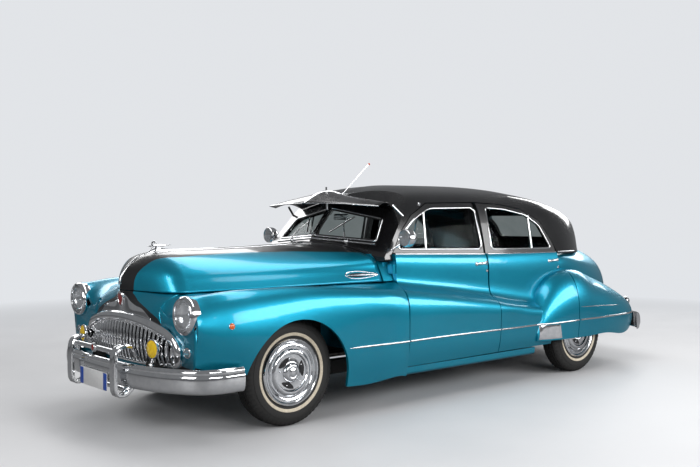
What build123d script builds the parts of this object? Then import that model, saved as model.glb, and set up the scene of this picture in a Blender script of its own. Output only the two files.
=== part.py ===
from build123d import *
import math
import os

os.makedirs("parts", exist_ok=True)

# Classic four-door sedan. Millimetres, +X forward, +Y to the car's left, +Z up, floor at z = 0.

# ---- driving dimensions ----
wheelbase = 3150
front_overhang = 1015
rear_overhang = 1230
front_track = 1490
rear_track = 1590
tyre_radius = 355
tyre_width = 168
rim_radius = 212
rim_width = 150
belt_y = 760            # half width of the body at the belt
front_fender_out = 175  # how far the front fender stands out past the belt
rear_fender_out = 240   # how far the rear fender stands out past the belt
belt_z = 1068           # height of the belt at the middle pillar
roof_z = 1642           # top of the roof
roof_y = 600            # half width where the roof turns down
door_front_length = 1047
door_front_gap_back = 981  # front door seam, behind the front axle
door_rear_seam_ahead = 160  # rear door seam, ahead of the rear axle
door_depth = 70         # inner face of the doors, inboard of the belt
door_bottom_z = 286
rocker_z = 222
seam_gap = 7
sheet = 20              # wall of the pressed panels
shell = 34              # wall of the roof and the tail
glass_thick = 6
hinge_back = 30         # door hinge axis, behind the door's front seam
hinge_in = 6            # door hinge axis, inboard of the widest line
arch_radius = 412
arch_drop = 58          # the arch centre lies this far below the axle
bumper_z = 385
bumper_height = 150
seat_y = 610
frame_y = 420
frame_z = 210
frame_height = 100
floor_z = frame_z + frame_height

# ---- places along the car ----
front_end_x = (front_overhang + wheelbase + rear_overhang) / 2
rear_end_x = -front_end_x
front_axle_x = front_end_x - front_overhang
rear_axle_x = front_axle_x - wheelbase
front_seam_x = front_axle_x - door_front_gap_back
b_seam_x = front_seam_x - door_front_length
rear_seam_x = rear_axle_x + door_rear_seam_ahead
widest_y = belt_y + front_fender_out
door_inner_y = belt_y - door_depth


def line_at(table, x):
    """Value at x on a smooth line through (x, value) pairs given from front to back."""
    if x >= table[0][0]:
        return table[0][1]
    if x <= table[-1][0]:
        return table[-1][1]
    slopes = [(v1 - v0) / (x1 - x0) for (x0, v0), (x1, v1) in zip(table, table[1:])]
    knots = [slopes[0]] + [(a + b) / 2 if a * b > 0 else 0 for a, b in zip(slopes, slopes[1:])] + [slopes[-1]]
    i = next(i for i in range(len(slopes)) if x >= table[i + 1][0])
    (x0, v0), (x1, v1) = table[i], table[i + 1]
    span = x1 - x0
    t = (x - x0) / span
    return ((2 * t ** 3 - 3 * t ** 2 + 1) * v0 + (t ** 3 - 2 * t ** 2 + t) * span * knots[i]
            + (3 * t ** 2 - 2 * t ** 3) * v1 + (t ** 3 - t ** 2) * span * knots[i + 1])


def inset(points, depth):
    """The same open line moved sideways by depth, to the right of its direction of travel."""
    moved = []
    for i, (a, b) in enumerate(points):
        before = points[max(i - 1, 0)]
        after = points[min(i + 1, len(points) - 1)]
        run, rise = after[0] - before[0], after[1] - before[1]
        size = math.hypot(run, rise)
        moved.append((a + depth * rise / size, b - depth * run / size))
    return moved


def thick_line(plane, outer, wall):
    """A closed sketch: an outer spline and the same spline one wall inside it."""
    inner = inset(outer, wall)
    with BuildSketch(plane) as section:
        with BuildLine():
            Spline(*outer)
            Line(outer[-1], inner[-1])
            Spline(*reversed(inner))
            Line(inner[0], outer[0])
        make_face()
    return section.sketch


def slab_section(plane, outer, inner_y):
    """A closed sketch: an outer spline closed by straight lines at a flat inner face."""
    with BuildSketch(plane) as section:
        with BuildLine():
            Spline(*outer)
            Polyline(outer[-1], (inner_y, outer[-1][1]), (inner_y, outer[0][1]), outer[0])
        make_face()
    return section.sketch


def mirrored(left):
    """The right-hand copy of a left-hand piece."""
    with BuildPart() as right:
        mirror(left.part, about=Plane.XZ)
    return right


def keep(builder, name):
    """Label a finished piece and write it as its own file."""
    builder.part.label = name
    export_step(builder.part, f"parts/{name}.step")


def keep_pair(left, name):
    keep(left, f"{name}_left")
    keep(mirrored(left), f"{name}_right")


def keep_together(pieces, name):
    """Like pieces that stay apart from each other, written to one file."""
    with BuildPart() as both:
        for piece in pieces:
            add(piece.part)
    keep(both, name)


# ---- feature lines of the body side: height and half width along the car ----
belt_line = [(front_seam_x + 60, belt_z + 42), (front_seam_x - 400, belt_z + 24),
             (b_seam_x + 230, belt_z + 7), (b_seam_x, belt_z), (rear_seam_x, belt_z - 5)]
crest_z_line = [(front_axle_x + 720, 880), (front_axle_x + 530, 905), (front_axle_x + 320, 914),
                (front_axle_x + 90, 914), (front_axle_x - 150, 907), (front_axle_x - 390, 890),
                (front_seam_x + 98, 853), (front_seam_x - 372, 792), (b_seam_x, 690),
                (rear_axle_x + 670, 611), (rear_axle_x + 300, 560)]
crest_y_line = [(front_axle_x + 720, belt_y), (front_axle_x + 530, belt_y + 40),
                (front_axle_x + 90, belt_y + 65), (front_axle_x - 390, belt_y + 90),
                (front_seam_x, belt_y + 108), (b_seam_x, belt_y + 128), (rear_axle_x + 300, belt_y + 142)]
widest_line = [(front_axle_x + 760, widest_y - 95), (front_axle_x + 620, widest_y - 35),
               (front_axle_x + 300, widest_y), (front_seam_x, widest_y - 4),
               (b_seam_x, widest_y - 22), (rear_axle_x + 300, widest_y - 28)]
widest_z_line = [(front_axle_x + 720, 700), (front_axle_x, 660), (front_seam_x, 600),
                 (b_seam_x, 540), (rear_axle_x + 300, 500)]


def side_points(x, bottom_z):
    """Outer line of the body side at x, from the belt down over the swept crest to bottom_z."""
    crest_z, crest_y = line_at(crest_z_line, x), line_at(crest_y_line, x)
    out_y, out_z = line_at(widest_line, x), line_at(widest_z_line, x)
    top_z = line_at(belt_line, x)
    root_y = belt_y + 40 + 0.15 * (line_at(crest_z_line, front_seam_x) - crest_z)
    return [(belt_y, top_z), (belt_y + 27, 0.45 * top_z + 0.55 * crest_z), (root_y, crest_z + 44),
            (crest_y, crest_z), (out_y, out_z), (out_y - 6, 0.5 * (out_z + bottom_z)), (out_y - 40, bottom_z)]


# ---- greenhouse: side profile, front profile and plan ----
screen_low = Vector(front_seam_x + 169, 0, belt_z + 127)
screen_corner = Vector(front_seam_x + 31, belt_y - 74, belt_z + 80)
screen_high = Vector(front_seam_x - 76, 0, belt_z + 409)
screen_plane = Plane(origin=screen_low, x_dir=screen_corner - screen_low,
                     z_dir=(screen_corner - screen_low).cross(screen_high - screen_low))
roof_back_x = rear_axle_x - 605
side_profile = [(front_seam_x + 190, roof_z - 270), (front_seam_x, roof_z - 170), (front_seam_x - 170, roof_z - 80),
                (front_seam_x - 380, roof_z - 22), (front_seam_x - 700, roof_z), (b_seam_x - 300, roof_z - 2),
                (rear_seam_x + 250, roof_z - 40), (rear_axle_x + 20, roof_z - 110), (rear_axle_x - 250, roof_z - 205),
                (rear_axle_x - 460, roof_z - 330), (roof_back_x + 30, roof_z - 460), (roof_back_x, roof_z - 520)]
front_profile = [(belt_y - 8, belt_z - 8), (belt_y - 36, belt_z + 130), (belt_y - 68, belt_z + 262),
                 (belt_y - 105, belt_z + 372), (roof_y, roof_z - 118), (roof_y - 130, roof_z - 52),
                 (roof_y - 370, roof_z - 8), (0, roof_z + 4)]
plan_profile = [(front_seam_x + 300, belt_y), (rear_seam_x + 100, belt_y), (rear_seam_x - 120, belt_y - 8),
                (rear_axle_x - 230, belt_y - 75), (rear_axle_x - 430, belt_y - 190),
                (roof_back_x + 45, belt_y - 340), (roof_back_x, belt_y - 400)]
drip_line = [(front_seam_x + 190, belt_z + 150), (front_seam_x, belt_z + 210), (front_seam_x - 120, belt_z + 290),
             (front_seam_x - 262, belt_z + 360), (front_seam_x - 462, belt_z + 430), (b_seam_x - 300, belt_z + 440),
             (b_seam_x - 560, belt_z + 405), (rear_seam_x + 175, belt_z + 310), (rear_seam_x + 40, belt_z + 150),
             (rear_seam_x - 60, belt_z)]
roof_stations = [front_seam_x + 190, front_seam_x, front_seam_x - 190, front_seam_x - 420, front_seam_x - 750,
                 b_seam_x - 100, b_seam_x - 500, rear_seam_x + 100, rear_axle_x - 90, rear_axle_x - 290,
                 rear_axle_x - 440, rear_axle_x - 540, roof_back_x]


def roof_points(x, depth):
    """Half line over the roof at x, from the middle over the drip rail to the belt, moved in by depth."""
    top = line_at(inset(side_profile, -depth), x)
    wide = line_at(inset(plan_profile, -depth), x) / (belt_y - depth)
    drip, crown = line_at(drip_line, x), roof_z + 4 - depth
    drop = crown - top
    bend = min(2.0, 0.98 * (crown - drip) / max(drop, 1))
    line = [(max(y, 0) * wide, z - drop * (max(z - drip, 0) / (crown - drip)) ** bend)
            for y, z in inset(list(reversed(front_profile)), depth)]
    return [(0, line[0][1])] + line[1:]


def lofted_half(groups, depth, points, low_z):
    """Left half of a closed body lofted along the car, group by group, with its flat back end moved in by depth."""
    start, length = groups[0][0], groups[0][0] - groups[-1][-1]
    with BuildPart() as half:
        for stations in groups:
            sections = []
            for station in stations:
                x = start - (start - station) * (length - depth) / length
                line = points(x, depth)
                with BuildSketch(Plane.YZ.offset(x)) as section:
                    with BuildLine():
                        Spline(*line)
                        Polyline(line[-1], (line[-1][0], low_z), (0, low_z), line[0])
                    make_face()
                sections.append(section.sketch)
            loft(sections)
    return half.part


def greenhouse(depth):
    """Left half of the greenhouse as a solid, with every outer surface moved in by depth."""
    with BuildPart() as half:
        add(lofted_half([roof_stations], depth, roof_points, belt_z - 20))
        split(bisect_by=screen_plane.offset(-depth), keep=Keep.BOTTOM)
    return half.part


front_door_outline = [(front_seam_x, door_bottom_z), (front_seam_x, belt_z + 27), (front_seam_x - 30, belt_z + 65),
                      (front_seam_x - 120, belt_z + 190), (front_seam_x - 262, belt_z + 317),
                      (front_seam_x - 462, belt_z + 410), (b_seam_x, belt_z + 422), (b_seam_x, door_bottom_z)]
rear_door_outline = [(b_seam_x, door_bottom_z), (b_seam_x, belt_z + 422), (b_seam_x - 300, belt_z + 410),
                     (b_seam_x - 560, belt_z + 372), (rear_seam_x + 175, belt_z + 270), (rear_seam_x + 40, belt_z + 75),
                     (rear_seam_x, belt_z - 5), (rear_seam_x, door_bottom_z)]
front_window = [(front_seam_x - 67, belt_z + 65), (front_seam_x - 159, belt_z + 190), (front_seam_x - 300, belt_z + 290),
                (front_seam_x - 478, belt_z + 366), (b_seam_x + 43, belt_z + 379), (b_seam_x + 37, belt_z + 45)]
rear_window = [(b_seam_x - 88, belt_z + 42), (b_seam_x - 106, belt_z + 380), (b_seam_x - 330, belt_z + 368),
               (b_seam_x - 600, belt_z + 322), (rear_seam_x + 200, belt_z + 235), (rear_seam_x + 78, belt_z + 34)]
side_wall = [(belt_y - 8, belt_z - 20), (belt_y - 36, belt_z + 130), (belt_y - 68, belt_z + 262),
             (belt_y - 105, belt_z + 372), (roof_y + 10, belt_z + 446)]


def side_wall_solid(depth, wall):
    """The sloping side of the greenhouse as a wall along the doors."""
    with BuildPart() as wall_part:
        extrude(thick_line(Plane.YZ.offset(rear_seam_x - 60), inset(list(reversed(side_wall)), depth), wall),
                amount=front_seam_x - rear_seam_x + 160)
    return wall_part.part


def door_solid(stations, outline, window, hinge_x, hinge_y, reach):
    """A door: lofted lower skin, window frame, shut faces round its own hinge axis."""
    with BuildPart() as door:
        loft([slab_section(Plane.YZ.offset(x), side_points(x, door_bottom_z - 20), door_inner_y)
              for x in stations])
        add(side_wall_solid(0, sheet + 8))
        with BuildSketch(Plane.XZ):
            with BuildLine():
                Polyline(*outline, close=True)
            make_face()
            offset(amount=-seam_gap / 2, kind=Kind.INTERSECTION)
        extrude(amount=-2 * belt_y, mode=Mode.INTERSECT)
        with BuildSketch(Plane.XZ):
            with BuildLine():
                Polyline(*window, close=True)
            make_face()
            fillet(vertices(), 18)
        extrude(amount=-belt_y, mode=Mode.SUBTRACT)
        with BuildSketch(Plane.XY.offset(0)):
            with Locations((hinge_x, hinge_y)):
                Circle(reach)
        extrude(amount=roof_z, mode=Mode.INTERSECT)
    return door.part


def window_glass(window):
    """A side glass in the middle of the door's window frame."""
    with BuildPart() as glass:
        add(side_wall_solid(10, glass_thick))
        with BuildSketch(Plane.XZ):
            with BuildLine():
                Polyline(*window, close=True)
            make_face()
            fillet(vertices(), 18)
        extrude(amount=-belt_y, mode=Mode.INTERSECT)
    return glass


# ---- doors ----
front_hinge = (front_seam_x - hinge_back, line_at(widest_line, front_seam_x) - hinge_in)
rear_hinge = (b_seam_x - hinge_back, line_at(widest_line, b_seam_x) - hinge_in)

with BuildPart() as front_door_left:
    add(door_solid([front_seam_x + 20, front_seam_x - 350, front_seam_x - 700, b_seam_x - 20],
                   front_door_outline, front_window, *front_hinge, front_hinge[0] - b_seam_x - seam_gap / 2))
keep_pair(front_door_left, "front_door")
front_glass_left = window_glass(front_window)
keep_pair(front_glass_left, "front_door_glass")

# ---- rear fender lines: distance ahead of the rear axle, then height or half width ----
fender_top_line = [(rear_axle_x + 640, 470), (rear_axle_x + 577, 632), (rear_axle_x + 453, 793),
                   (rear_axle_x + 200, 908), (rear_axle_x, 905), (rear_axle_x - 330, 835),
                   (rear_axle_x - 580, 755), (rear_axle_x - 800, 670), (rear_axle_x - 980, 590),
                   (rear_axle_x - 1060, 560)]
fender_out_line = [(rear_axle_x + 640, belt_y + 150), (rear_axle_x + 577, belt_y + 172),
                   (rear_axle_x + 453, belt_y + 205), (rear_axle_x + 200, belt_y + 234),
                   (rear_axle_x, belt_y + rear_fender_out), (rear_axle_x - 330, belt_y + 228),
                   (rear_axle_x - 580, belt_y + 198), (rear_axle_x - 800, belt_y + 145),
                   (rear_axle_x - 980, belt_y + 45), (rear_axle_x - 1060, belt_y - 40)]
fender_low_line = [(rear_axle_x + 640, 330), (rear_axle_x - 330, 330), (rear_axle_x - 580, 300),
                   (rear_axle_x - 800, 330), (rear_axle_x - 1060, 440)]
fender_stations = [rear_axle_x + d for d in (640, 577, 453, 200, 0, -330, -580, -800, -980, -1060)]
fender_inner_y = belt_y - 190


def rear_fender_points(x):
    """Outer line of the rear fender at x, from the body over its crown down to the skirt."""
    top, low, out = (line_at(t, x) for t in (fender_top_line, fender_low_line, fender_out_line))
    high = top - low
    root = fender_inner_y if x < rear_seam_x - 400 else belt_y - 20
    return [(root, top - 0.02 * high), (root + 0.55 * (out - root), top - 0.05 * high),
            (out - 0.12 * (out - root), top - 0.28 * high), (out, low + 0.42 * high), (out - 12, low)]


def rear_fender_shell(stations, wall):
    with BuildPart() as fender:
        loft([thick_line(Plane.YZ.offset(x), rear_fender_points(x), wall) for x in stations])
    return fender.part


# ---- tail of the body: side profile, plan and cross profiles ahead and behind ----
tail_top = [(rear_seam_x + 50, belt_z - 8), (rear_seam_x - seam_gap, belt_z - 5), (rear_axle_x - 300, belt_z + 26),
            (rear_axle_x - 600, belt_z + 30), (rear_axle_x - 830, belt_z - 28), (rear_axle_x - 990, belt_z - 130),
            (rear_axle_x - 1075, belt_z - 270), (rear_axle_x - 1120, belt_z - 430), (rear_axle_x - 1138, belt_z - 560)]
tail_plan = [(rear_seam_x + 50, belt_y), (rear_seam_x - seam_gap, belt_y), (rear_axle_x - 200, belt_y - 20),
             (rear_axle_x - 600, belt_y - 90), (rear_axle_x - 880, belt_y - 190), (rear_axle_x - 1040, belt_y - 310),
             (rear_axle_x - 1110, belt_y - 440), (rear_axle_x - 1138, belt_y - 540)]
tail_low_z = floor_z + 40
tail_cross_front = [(0, belt_z + 38), (belt_y - 380, belt_z + 34), (belt_y - 140, belt_z + 20), (belt_y - 16, belt_z - 14),
                    (belt_y + 8, belt_z - 150), (belt_y + 14, belt_z - 400)]
tail_cross_back = [(0, belt_z + 38), (belt_y - 430, belt_z + 27), (belt_y - 220, belt_z - 22), (belt_y - 90, belt_z - 110),
                   (belt_y - 20, belt_z - 260), (belt_y, belt_z - 440)]
tail_break_x = rear_axle_x - 830
tail_front_step = (tail_break_x - rear_seam_x - 50) / 4
tail_stations = [[rear_seam_x + 50 + i * tail_front_step for i in range(5)],
                 [tail_break_x, tail_break_x - 75, tail_break_x - 140, tail_break_x - 195, tail_break_x - 240,
                  tail_break_x - 275, tail_break_x - 308]]


def tail_points(x, depth):
    """Half line over the tail at x, from the middle over the shoulder to the lower edge, moved in by depth."""
    top = line_at(inset(tail_top, -depth), x)
    wide = line_at(inset(tail_plan, -depth), x) / (belt_y - depth)
    part = min(max((rear_seam_x - x) / (rear_seam_x - rear_axle_x + 700), 0), 1)
    part = part * part * (3 - 2 * part)
    cross = inset([(y0 + part * (y1 - y0), z0 + part * (z1 - z0))
                   for (y0, z0), (y1, z1) in zip(tail_cross_front, tail_cross_back)], depth)
    low_z = tail_low_z + depth
    share = (top - low_z) / (cross[0][1] - low_z)
    line = [(max(y, 0) * wide, low_z + (z - low_z) * share) for y, z in cross]
    return [(0, top)] + line[1:]


def tail_solid(depth):
    """Left half of the tail as a solid, with its outer surfaces moved in by depth."""
    return lofted_half(tail_stations, depth, tail_points, tail_low_z + depth)


lid_half_width = 500
lid_front_x = rear_axle_x - 640
lid_low_z = 610
lid_axis_x = lid_front_x - seam_gap / 2
lid_axis_z = line_at(tail_top, lid_axis_x)


def lid_barrels(radius, spare):
    """The two hinge barrels along the trunk lid's front edge."""
    with BuildPart() as barrels:
        for y in (-130, 130):
            with BuildSketch(Plane.XZ.offset(-y - 35 - spare)):
                with Locations((lid_axis_x, lid_axis_z)):
                    Circle(radius)
            extrude(amount=70 + 2 * spare)
    return barrels.part


def lid_prism(grow):
    """What the trunk lid's opening cuts out, seen from behind and above."""
    with BuildPart() as prism:
        with BuildSketch(Plane.XY.offset(lid_low_z - grow)):
            with Locations(((lid_front_x + grow + rear_end_x - 100) / 2, 0)):
                Rectangle(abs(rear_end_x - 100 - lid_front_x - grow), 2 * (lid_half_width + grow))
        extrude(amount=roof_z)
    return prism.part


with BuildPart() as wheel_well:
    with BuildSketch(Plane.XZ.offset(-(rear_track / 2 - tyre_width / 2 - 45))):
        with Locations((rear_axle_x, tyre_radius)):
            Circle(tyre_radius + 65)
    extrude(amount=-(tyre_width + 100))

with BuildPart() as rear_door_left:
    add(door_solid([b_seam_x + 20, b_seam_x - 350, b_seam_x - 650, rear_seam_x - 20],
                   rear_door_outline, rear_window, *rear_hinge, rear_hinge[0] - rear_seam_x - seam_gap / 2))
    with BuildPart(mode=Mode.PRIVATE) as fender_front:
        add(rear_fender_shell(fender_stations[:6], sheet + 10))
        with BuildSketch(Plane.XY):
            with Locations((rear_hinge[0], rear_hinge[1])):
                Circle(rear_hinge[0] - rear_seam_x - seam_gap / 2)
        extrude(amount=roof_z, mode=Mode.INTERSECT)
    add(fender_front.part)
    add(wheel_well.part, mode=Mode.SUBTRACT)
keep_pair(rear_door_left, "rear_door")
rear_glass_left = window_glass(rear_window)
keep_pair(rear_glass_left, "rear_door_glass")

# ---- body shell ----
cowl_top = [(front_seam_x + 300, belt_z + 112), (front_seam_x, belt_z + 132)]
hood_edge = [(front_seam_x, belt_y - 3, 905), (front_axle_x + 640, belt_y - 345, 878)]


hood_corner = [(front_axle_x + 806, belt_y - 565, 824), (front_axle_x + 783, belt_y - 445, 808),
               (front_axle_x + 757, belt_y - 366, 786), (front_axle_x + 727, belt_y - 354, 806),
               (front_axle_x + 697, belt_y - 348, 842), (front_axle_x + 640, belt_y - 345, 878)]


def hood_edge_at(x):
    """Half width and height of the hood's lower edge at x: straight, then down to the grille at the nose."""
    (x0, y0, z0), (x1, y1, z1) = hood_edge
    if x > x1:
        return line_at([(a, y) for a, y, z in hood_corner], x), line_at([(a, z) for a, y, z in hood_corner], x)
    share = (x - x0) / (x1 - x0)
    return y0 + share * (y1 - y0), z0 + share * (z1 - z0)


hood_top_line = [(front_axle_x + 806, 885), (front_axle_x + 791, 950), (front_axle_x + 740, 1041),
                 (front_axle_x + 652, 1106), (front_axle_x + 500, 1135), (front_axle_x + 180, 1141), (front_axle_x - 240, 1150),
                 (front_axle_x - 700, 1170), (front_seam_x, belt_z + 132)]
hood_full_line = [(front_axle_x + 806, 0.55), (front_axle_x + 740, 0.62), (front_axle_x + 650, 0.70), (front_axle_x + 500, 0.72),
                  (front_axle_x + 180, 0.74), (front_axle_x - 240, 0.80), (front_seam_x, 0.93)]


def hood_points(x, widen=0.0):
    """Half line over the hood at x, from the centre ridge down to its lower edge."""
    edge_y, edge_z = hood_edge_at(x)
    edge_y += widen
    top, full = line_at(hood_top_line, x), line_at(hood_full_line, x)
    high = top - edge_z
    return [(0, top), (0.25 * edge_y, top - 0.02 * high), (0.55 * edge_y, top - 0.12 * high - 0.1 * (1 - full) * high),
            (edge_y * (0.5 + 0.42 * full), top - 0.42 * high), (edge_y * (0.75 + 0.22 * full), edge_z + 0.3 * high),
            (edge_y, edge_z)]


def hood_shell(stations, wall):
    """Left half of a pressed panel that follows the hood line over the given stations."""
    with BuildPart() as half:
        loft([thick_line(Plane.YZ.offset(x), hood_points(x), wall) for x in stations])
    return half.part


def hood_fill(stations):
    """Left half of everything under the hood line, as a solid to cut other pieces with."""
    with BuildPart() as half:
        sections = []
        for x in stations:
            line = hood_points(x)
            with BuildSketch(Plane.YZ.offset(x)) as section:
                with BuildLine():
                    Spline(*line)
                    Polyline(line[-1], (0, line[-1][1]), line[0])
                make_face()
            sections.append(section.sketch)
        loft(sections)
    return half.part


hood_rear = [(front_seam_x + 72, belt_y + 20), (front_seam_x + 208, 0)]
hood_break_x = front_axle_x + 520
hood_step = (hood_break_x - front_seam_x + 5) / 5
with BuildPart() as hood_half:
    add(hood_shell([front_seam_x - 5 + i * hood_step for i in range(6)], sheet))
    add(hood_shell([hood_break_x + along for along in (0, 60, 116, 168, 214, 254, 286)], sheet))
    with BuildSketch(Plane.XY):
        with BuildLine():
            Polyline((hood_rear[0][0] + seam_gap, belt_y + 20), (hood_rear[1][0] + seam_gap, 0),
                     (front_end_x, 0), (front_end_x, belt_y + 20), close=True)
        make_face()
    extrude(amount=roof_z, mode=Mode.INTERSECT)
hood_axis = Axis((hood_edge[0][0], -hood_edge[0][1], hood_edge[0][2] - 2),
                 Vector(hood_edge[1][0] - hood_edge[0][0], hood_edge[0][1] - hood_edge[1][1],
                        hood_edge[1][2] - hood_edge[0][2]))
with BuildPart() as hood:
    add(hood_half.part)
    mirror(about=Plane.XZ)
    for along in (276, 942, 1240):
        with BuildSketch(Plane(origin=hood_axis.position + hood_axis.direction * along, z_dir=hood_axis.direction)):
            Circle(6)
        extrude(amount=60)
keep(hood, "hood")

# ---- front fenders ----
fender_bottom_line = [(front_axle_x + 735, 470), (front_axle_x + 420, 400), (front_axle_x + 100, 300),
                      (front_axle_x - 330, rocker_z + 3), (front_seam_x, rocker_z)]
lamp_y = belt_y - 8
lamp_z = 772
valley_line = [(front_axle_x + 735, 34), (front_axle_x + 560, 16), (front_axle_x + 300, 5), (front_seam_x, 2)]


def front_fender_points(x):
    """Outer line of the front fender at x, from the hood's edge over the crest to the lower edge."""
    edge_y, edge_z = hood_edge_at(x)
    crest_z, crest_y = line_at(crest_z_line, x), line_at(crest_y_line, x)
    out_y, out_z = line_at(widest_line, x), line_at(widest_z_line, x)
    low_z = line_at(fender_bottom_line, x)
    start_y, start_z = edge_y + seam_gap + 5, edge_z - 9
    dip = line_at(valley_line, x)
    valley = [(start_y + share * (crest_y - start_y),
               start_z + (crest_z - start_z) * share ** 1.6 - 4 * dip * share * (1 - share)) for share in (0.4, 0.75)]
    return [(start_y, start_z), *valley, (crest_y, crest_z), (out_y, out_z),
            (out_y - 4, 0.5 * (out_z + low_z)), (out_y - 34, low_z)]


hood_pad_x = (front_axle_x - 500, front_axle_x + 320)
lamp_seat_x = front_axle_x + 735
lamp_section = [(belt_y - 340, 796), (belt_y - 235, 742), (lamp_y - 110, lamp_z + 46), (lamp_y, lamp_z + 121),
                (lamp_y + 122, lamp_z - 20), (lamp_y + 118, lamp_z - 170), (lamp_y + 92, lamp_z - 302)]
fender_front_stations = [front_seam_x + seam_gap / 2, front_seam_x + 280, front_axle_x - 420, front_axle_x - 140,
                         front_axle_x + 120, front_axle_x + 360, front_axle_x + 560]
with BuildPart() as front_fender_left:
    loft([thick_line(Plane.YZ.offset(x), front_fender_points(x), sheet) for x in fender_front_stations]
         + [thick_line(Plane.YZ.offset(lamp_seat_x), lamp_section, sheet)])
    with BuildSketch(Plane.XZ):
        with Locations((front_axle_x, tyre_radius - arch_drop)):
            Circle(arch_radius)
        with Locations((front_axle_x, 0)):
            Rectangle(2 * arch_radius, 2 * (tyre_radius - arch_drop))
    extrude(amount=-2 * belt_y, mode=Mode.SUBTRACT)
    for x in hood_pad_x:
        edge_y, edge_z = hood_edge_at(x)
        with Locations((x, edge_y + 2, inset(hood_points(x), sheet)[-1][1] - 18)):
            Box(30, 32, 40)
    add(hood_half.part.moved(Location((0, 0, -0.3))), mode=Mode.SUBTRACT)
keep_pair(front_fender_left, "front_fender")

# ---- cowl with its firewall and hinge posts ----
with BuildPart() as cowl_half:
    add(hood_shell([front_seam_x + 2, front_seam_x + 100, front_seam_x + 260], sheet))
    with BuildSketch(Plane.XY):
        with BuildLine():
            Polyline((hood_rear[0][0], belt_y + 20), (hood_rear[1][0], 0),
                     (front_seam_x + 2, 0), (front_seam_x + 2, belt_y + 20), close=True)
        make_face()
    extrude(amount=roof_z, mode=Mode.INTERSECT)
with BuildPart() as cowl:
    add(cowl_half.part)
    mirror(about=Plane.XZ)
    post_line = inset(front_fender_points(front_seam_x + 35), sheet / 2)
    with BuildSketch(Plane.YZ.offset(front_seam_x + 20)):
        with BuildLine():
            Spline(*post_line)
            Polyline(post_line[-1], (0, post_line[-1][1]), (0, belt_z + 60), (400, belt_z + 60),
                     (belt_y - 60, belt_z - 30), (belt_y - 40, 900), post_line[0])
        make_face()
        mirror(about=Plane.YZ)
    extrude(amount=30)
    with Locations((front_seam_x + 35, 0, 0)):
        Box(40, 4 * belt_y, 2 * floor_z + 90, mode=Mode.SUBTRACT)
    for side in (-1, 1):
        for z in (470, 990):
            with Locations((front_seam_x + 9, side * (belt_y - 10), z)):
                Box(24.4, 60, 70)
    add(front_fender_left.part, mode=Mode.SUBTRACT)
    mirror(front_fender_left.part, about=Plane.XZ, mode=Mode.SUBTRACT)
keep(cowl, "cowl")

house_outer = greenhouse(0)
with BuildPart() as roof_half:
    add(house_outer)
    add(greenhouse(shell), mode=Mode.SUBTRACT)
    with BuildSketch(Plane.XY):
        with BuildLine():
            Polyline((hood_rear[0][0], belt_y + 20), (hood_rear[1][0], 0), (front_end_x, 0),
                     (front_end_x, belt_y + 20), close=True)
        make_face()
    extrude(amount=roof_z, mode=Mode.SUBTRACT)
    add(hood_fill([front_seam_x - 5, front_seam_x + 100, front_seam_x + 260, front_seam_x + 400]), mode=Mode.SUBTRACT)
    for outline in (front_door_outline, rear_door_outline):
        with BuildSketch(Plane.XZ):
            with BuildLine():
                Polyline(*outline, close=True)
            make_face()
            offset(amount=seam_gap / 2, kind=Kind.INTERSECTION)
        extrude(amount=-belt_y - 40, mode=Mode.SUBTRACT)
    with BuildSketch(screen_plane):
        with BuildLine():
            Polyline((14, 42), (610, 46), (560, 262), (14, 330), close=True)
        make_face()
        fillet(vertices(), 14)
    extrude(amount=2 * shell, both=True, mode=Mode.SUBTRACT)
    with BuildSketch(Plane.YZ.offset(rear_end_x)):
        with Locations((0, belt_z + 215)):
            RectangleRounded(2 * 430, 210, 60)
    extrude(amount=rear_axle_x - rear_end_x, mode=Mode.SUBTRACT)
    with BuildSketch(Plane.XZ):
        with Locations(((front_seam_x + rear_seam_x) / 2, belt_z - 20)):
            Rectangle(front_seam_x - rear_seam_x, 80)
    extrude(amount=-belt_y, mode=Mode.SUBTRACT)
with BuildPart() as roof:
    add(roof_half.part)
    mirror(about=Plane.XZ)
    add(cowl.part, mode=Mode.SUBTRACT)
keep(roof, "roof")

# ---- rockers under the doors ----
rocker_top_z = door_bottom_z - seam_gap / 2
rocker_outer = [(widest_y - 52, rocker_top_z), (widest_y - 55, rocker_z + 26), (widest_y - 85, rocker_z)]
with BuildPart() as rocker_left:
    with BuildSketch(Plane.YZ.offset(rear_axle_x + 640)):
        with BuildLine():
            Line(rocker_outer[0], rocker_outer[1])
            ThreePointArc(rocker_outer[1], (rocker_outer[1][0] - 9, rocker_z + 7), rocker_outer[2])
            Polyline(rocker_outer[-1], (frame_y + 60, rocker_z), (frame_y + 60, floor_z),
                     (door_inner_y - 50, floor_z), (door_inner_y - 50, floor_z - 16),
                     (door_inner_y - seam_gap, floor_z - 16), (door_inner_y - seam_gap, rocker_top_z),
                     rocker_outer[0])
        make_face()
    extrude(amount=front_seam_x - rear_axle_x - 640)
keep_together((rocker_left, mirrored(rocker_left)), "rockers")

# ---- tail, trunk lid and rear fenders ----
tail_outer = tail_solid(0)
with BuildPart() as tail_half:
    add(tail_outer)
    add(tail_solid(shell), mode=Mode.SUBTRACT)
    with BuildSketch(Plane.XZ):
        with Locations(((rear_seam_x + rear_axle_x - 470) / 2, floor_z)):
            Rectangle(rear_seam_x - rear_axle_x + 470, 440)
    extrude(amount=-belt_y + shell + 60, mode=Mode.SUBTRACT)
    with BuildSketch(Plane.XZ):
        with Locations((rear_seam_x - seam_gap + 40, belt_z / 2)):
            Rectangle(80, belt_z + 100)
    extrude(amount=-belt_y - 40, mode=Mode.SUBTRACT)
    add(wheel_well.part, mode=Mode.SUBTRACT)
    add(house_outer, mode=Mode.SUBTRACT)
with BuildPart() as lid_ledge:
    add(tail_solid(shell + 0.3))
    add(tail_solid(shell + 12), mode=Mode.SUBTRACT)
    add(lid_prism(20), mode=Mode.INTERSECT)
    add(lid_prism(-30), mode=Mode.SUBTRACT)
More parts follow.
